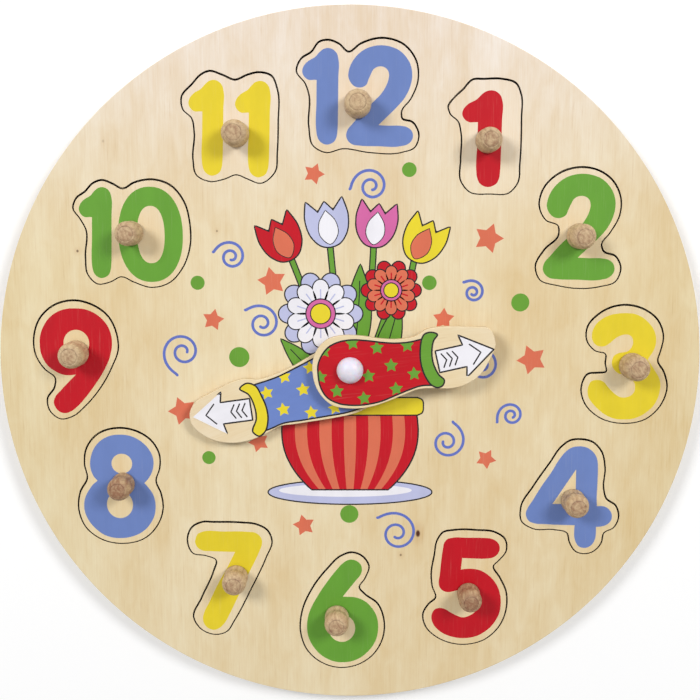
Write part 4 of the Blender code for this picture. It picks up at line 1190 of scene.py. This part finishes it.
def print_hand(name, slot, top, rest, sleeve, sleeve_corners, cuff, stars, pointer,
               sleeve_ink, trim_ink):
    """The films on a hand, clear of its bore: sleeve, stars, cuff, pointer and lines."""
    turn = math.radians(90 - rest)
    sleeve_loop = smooth_outline(sleeve, 0.6, sleeve_corners) * MM
    cuff_loop = smooth_outline(cuff, 0.5) * MM
    corners = arrow(*pointer)
    pointer_loop = smooth_outline(corners, 0.6, range(len(corners))) * MM
    bore = circle(PIVOT_HOLE_RADIUS + 0.3 * MM, HOLE_POINTS)
    spots = [pulled_inside(star(*each, waist=0.5), sleeve_loop, 0.1 * MM) for each in stars]
    lines = [band(sleeve_loop, HAND_LINE, 3, top), band(cuff_loop, HAND_LINE, 5, top),
             band(pointer_loop, HAND_LINE, 3, top),
             *(film(stroke * MM, 3, top) for stroke in feathers(*pointer))]
    for part, shapes, colour, thin in (
            ("sleeve", [film(sleeve_loop, 1, top, [bore])], sleeve_ink, 0.07),
            ("trim", [*(film(loop, 2, top) for loop in spots), film(cuff_loop, 4, top)],
             trim_ink, 0.07),
            ("pointer", [film(pointer_loop, 2, top)], PICTURE_WHITE, 0.05),
            ("lines", lines, LINE_BLACK, 0.05)):
        make_piece(f"{name}_{part}", shapes, ink(colour, thin, turn), name, slot)


make_hand("minute_hand", "blue_hand", MINUTE_HAND_SHARES, MINUTE_HAND_LENGTH, MINUTE_HAND_REST,
          MINUTE_HAND_BOTTOM, MINUTE_HAND_TOP)
print_hand("minute_hand", "blue_hand", MINUTE_HAND_TOP, MINUTE_HAND_REST, BLUE_SLEEVE,
           BLUE_SLEEVE_CORNERS, YELLOW_CUFF, YELLOW_STARS, BLUE_POINTER, SLEEVE_BLUE, LEMON)

# Hour hand
# The shorter arm lies on top. It is the same thin wood, printed with a red starry sleeve, a
# green cuff and a white pointer.

HOUR_HAND_LENGTH = 62 * MM
HOUR_HAND_REST = 7.0
HOUR_HAND_BOTTOM, HOUR_HAND_TOP = 14.1 * MM, 17.1 * MM
HOUR_HAND_SHARES = (
    (1.0, 0.065), (0.945, -0.05), (0.87, -0.142), (0.775, -0.193), (0.66, -0.208),
    (0.55, -0.193), (0.45, -0.187), (0.355, -0.21), (0.24, -0.242), (0.115, -0.268),
    (-0.015, -0.266), (-0.155, -0.222), (-0.24, -0.1), (-0.255, 0.01), (-0.22, 0.145),
    (-0.13, 0.225), (0, 0.24), (0.115, 0.22), (0.225, 0.19), (0.355, 0.17),
    (0.475, 0.18), (0.55, 0.215), (0.63, 0.22), (0.74, 0.21), (0.87, 0.19), (0.965, 0.17),
)
RED_SLEEVE = ((0, 12.8), (7.5, 12.5), (13.4, 11.8), (19.2, 11.5), (25.1, 12), (29.7, 13.1),
              (33.0, 14.0), (33.2, 4.0), (36.4, -6.4), (29.8, -6.7), (25.1, -8.3),
              (19.2, -10.8), (13.4, -13.2), (7.5, -14.6), (1, -15), (-4.9, -14.2),
              (-9.6, -11.7), (-12.5, -7), (-13.4, -2.3), (-13.4, 2.4), (-11.9, 6.2),
              (-9, 9.8), (-4.9, 11.9))
RED_SLEEVE_CORNERS = (6, 8)
GREEN_CUFF = ((33.6, 16.1), (36.6, 15.1), (35.1, 12.7), (34.4, 8.9), (34.6, 4.8), (35.7, 1.2),
              (37.5, -2.0), (39.8, -4.4), (39.2, -6.4), (37.2, -7.4), (34.5, -6.4),
              (32.2, -3.5), (30.4, 0.6), (29.5, 5.4), (29.5, 9.5), (30.0, 13.0), (31.0, 15.1))
GREEN_STARS = ((1.0, 11.5, 3.1, 8), (-11.0, 8.0, 3.1, 6), (-12.5, -3.0, 3.1, 4),
               (7.8, -2.5, 3.1, 6), (11.3, 9.5, 3.1, 4), (17.3, 2.0, 3.1, 2),
               (24.0, 10.5, 3.1, 4), (27.0, -1.5, 3.1, 4), (-5.5, -9.0, 3.1, 4),
               (19.5, -8.0, 3.1, 6), (6.0, -12.0, 3.1, 8))
RED_POINTER = ((36.8, 3.6), (60.4, 8.9))

make_hand("hour_hand", "red_hand", HOUR_HAND_SHARES, HOUR_HAND_LENGTH, HOUR_HAND_REST,
          HOUR_HAND_BOTTOM, HOUR_HAND_TOP)
print_hand("hour_hand", "red_hand", HOUR_HAND_TOP, HOUR_HAND_REST, RED_SLEEVE,
           RED_SLEEVE_CORNERS, GREEN_CUFF, GREEN_STARS, RED_POINTER, NUMBER_RED, LEAF_GREEN)

# Cap
# A dome moulded in the same white nylon as the stud. It is pressed on the stud's top and
# keeps both hands on.

CAP_RADIUS = 5.6 * MM
CAP_BOTTOM = 17.4 * MM
CAP_HEIGHT = 4.8 * MM
CAP_SOCKET_DEPTH = 2.8 * MM
DOME_STEPS = 18
climb = np.linspace(math.pi / 2, 0, DOME_STEPS + 1)[1:]
dome = [(CAP_RADIUS * math.cos(a), CAP_BOTTOM + CAP_HEIGHT * math.sin(a)) for a in climb]
cap_profile = [(0.0, CAP_BOTTOM + CAP_HEIGHT), *dome, (PIVOT_HOLE_RADIUS, CAP_BOTTOM),
               (PIVOT_HOLE_RADIUS, CAP_BOTTOM + CAP_SOCKET_DEPTH),
               (0.0, CAP_BOTTOM + CAP_SOCKET_DEPTH)]
make_piece("pivot_dome", [turned(cap_profile, (0.0, 0.0))], nylon, "board", "white_plastic",
           "pivot_cap")

# Table, lamps and camera
# The puzzle lies on a plain white table under two broad lamps, one to each side of the
# twelve. The camera looks down on it from a little above the middle.

TABLE_REACH = 8.0
TABLE_HEIGHT = -0.05 * MM
TABLE_RINGS, TABLE_FACETS = 14, 240
TABLE_TONE = 0.80
TABLE_GLOW = 0.24
TABLE_FADE = (0.18, 0.6)
LAMP_POWER = 17.0
LAMP_SIZE = 0.62
FILL, FILL_BELOW = 0.32, 0.85
LAMP_PLACE = (1.08, 0.78, 1.32)
CAMERA_PLACE = (0.0, 0.06624, 0.42835)
CAMERA_TILT = math.radians(7.978)
LENS = 50.89

# The table top is a grid of radius by angle. It starts just inside the foot of the board,
# which covers the open middle, so that the underside can be lit and looked at from below.
table_start = BOARD_RADIUS - 1.5 * RIM_EASE
radius = table_start * (TABLE_REACH / table_start) ** np.linspace(0, 1, TABLE_RINGS)
table_points = turned_grid([(each, TABLE_HEIGHT) for each in radius], TABLE_FACETS)
table_faces = quads_between(TABLE_RINGS, TABLE_FACETS)
table_mesh = bpy.data.meshes.new("table")
table_mesh.from_pydata(table_points.tolist(), [], table_faces.tolist())
table = bpy.data.objects.new("table", table_mesh)
bpy.context.scene.collection.objects.link(table)


def seen(tree):
    """1 for rays that show the surroundings themselves, straight, mirrored or through
    glass."""
    path = tree.nodes.new("ShaderNodeLightPath").outputs
    shown = maths(tree, "MAXIMUM", path["Is Camera Ray"], path["Is Glossy Ray"])
    return maths(tree, "MAXIMUM", shown, path["Is Transmission Ray"])


def either(tree, share, first, second):
    """One shader or the other, by a share."""
    return wire(tree, "ShaderNodeMixShader", {0: share, 1: first, 2: second}).outputs[0]


table_white = bpy.data.materials.new("table_white")
table_white.use_nodes = True
tree = table_white.node_tree
tree.nodes.remove(tree.nodes["Principled BSDF"])
matt = wire(tree, "ShaderNodeBsdfDiffuse", {"Color": (TABLE_TONE,) * 3 + (1,)}).outputs[0]
away = wire(tree, "ShaderNodeVectorMath", {0: own_place(tree)}, operation="LENGTH")
far = spread(tree, away.outputs["Value"], *TABLE_FADE)
glow, white = (wire(tree, "ShaderNodeEmission", {"Strength": strength}).outputs[0]
               for strength in (TABLE_GLOW, 1.0))
lifted = wire(tree, "ShaderNodeAddShader", {0: matt, 1: glow}).outputs[0]
clear = tree.nodes.new("ShaderNodeBsdfTransparent").outputs[0]
beneath = tree.nodes.new("ShaderNodeNewGeometry").outputs["Backfacing"]
faded = either(tree, far, lifted, white)
table_look = either(tree, beneath, either(tree, seen(tree), matt, faded), clear)
tree.links.new(table_look, tree.nodes["Material Output"].inputs["Surface"])
table_mesh.materials.append(table_white)

world = bpy.data.worlds.new("room")
bpy.context.scene.world = world
world.use_nodes = True
tree = world.node_tree
room = tree.nodes["Background"]
room.inputs["Color"].default_value = (1, 1, 1, 1)
up = split(tree, own_place(tree, "Generated"))["Z"]
tree.links.new(spread(tree, up, -0.05, 0.0, FILL_BELOW, FILL), room.inputs["Strength"])
white = wire(tree, "ShaderNodeBackground", {"Color": (1, 1, 1, 1), "Strength": 1.0})
tree.links.new(either(tree, seen(tree), room.outputs[0], white.outputs[0]),
               tree.nodes["World Output"].inputs["Surface"])

for side in (-1, 1):
    lamp = bpy.data.lights.new("lamp", "AREA")
    lamp.shape = "DISK"
    lamp.size = LAMP_SIZE
    lamp.energy = LAMP_POWER
    holder = bpy.data.objects.new("lamp", lamp)
    bpy.context.scene.collection.objects.link(holder)
    place = np.array(LAMP_PLACE) * (side, 1, 1)
    aim = -place / np.linalg.norm(place)
    holder.location = place
    holder.rotation_euler = (math.acos(-aim[2]), 0, math.atan2(aim[1], aim[0]) - math.pi / 2)

camera = bpy.data.cameras.new("camera")
camera.lens = LENS
camera.sensor_width = 36.0
view = bpy.data.objects.new("camera", camera)
view.location = CAMERA_PLACE
view.rotation_euler = (-CAMERA_TILT, 0, 0)
bpy.context.scene.collection.objects.link(view)
bpy.context.scene.camera = view
bpy.context.scene.view_settings.view_transform = "Standard"
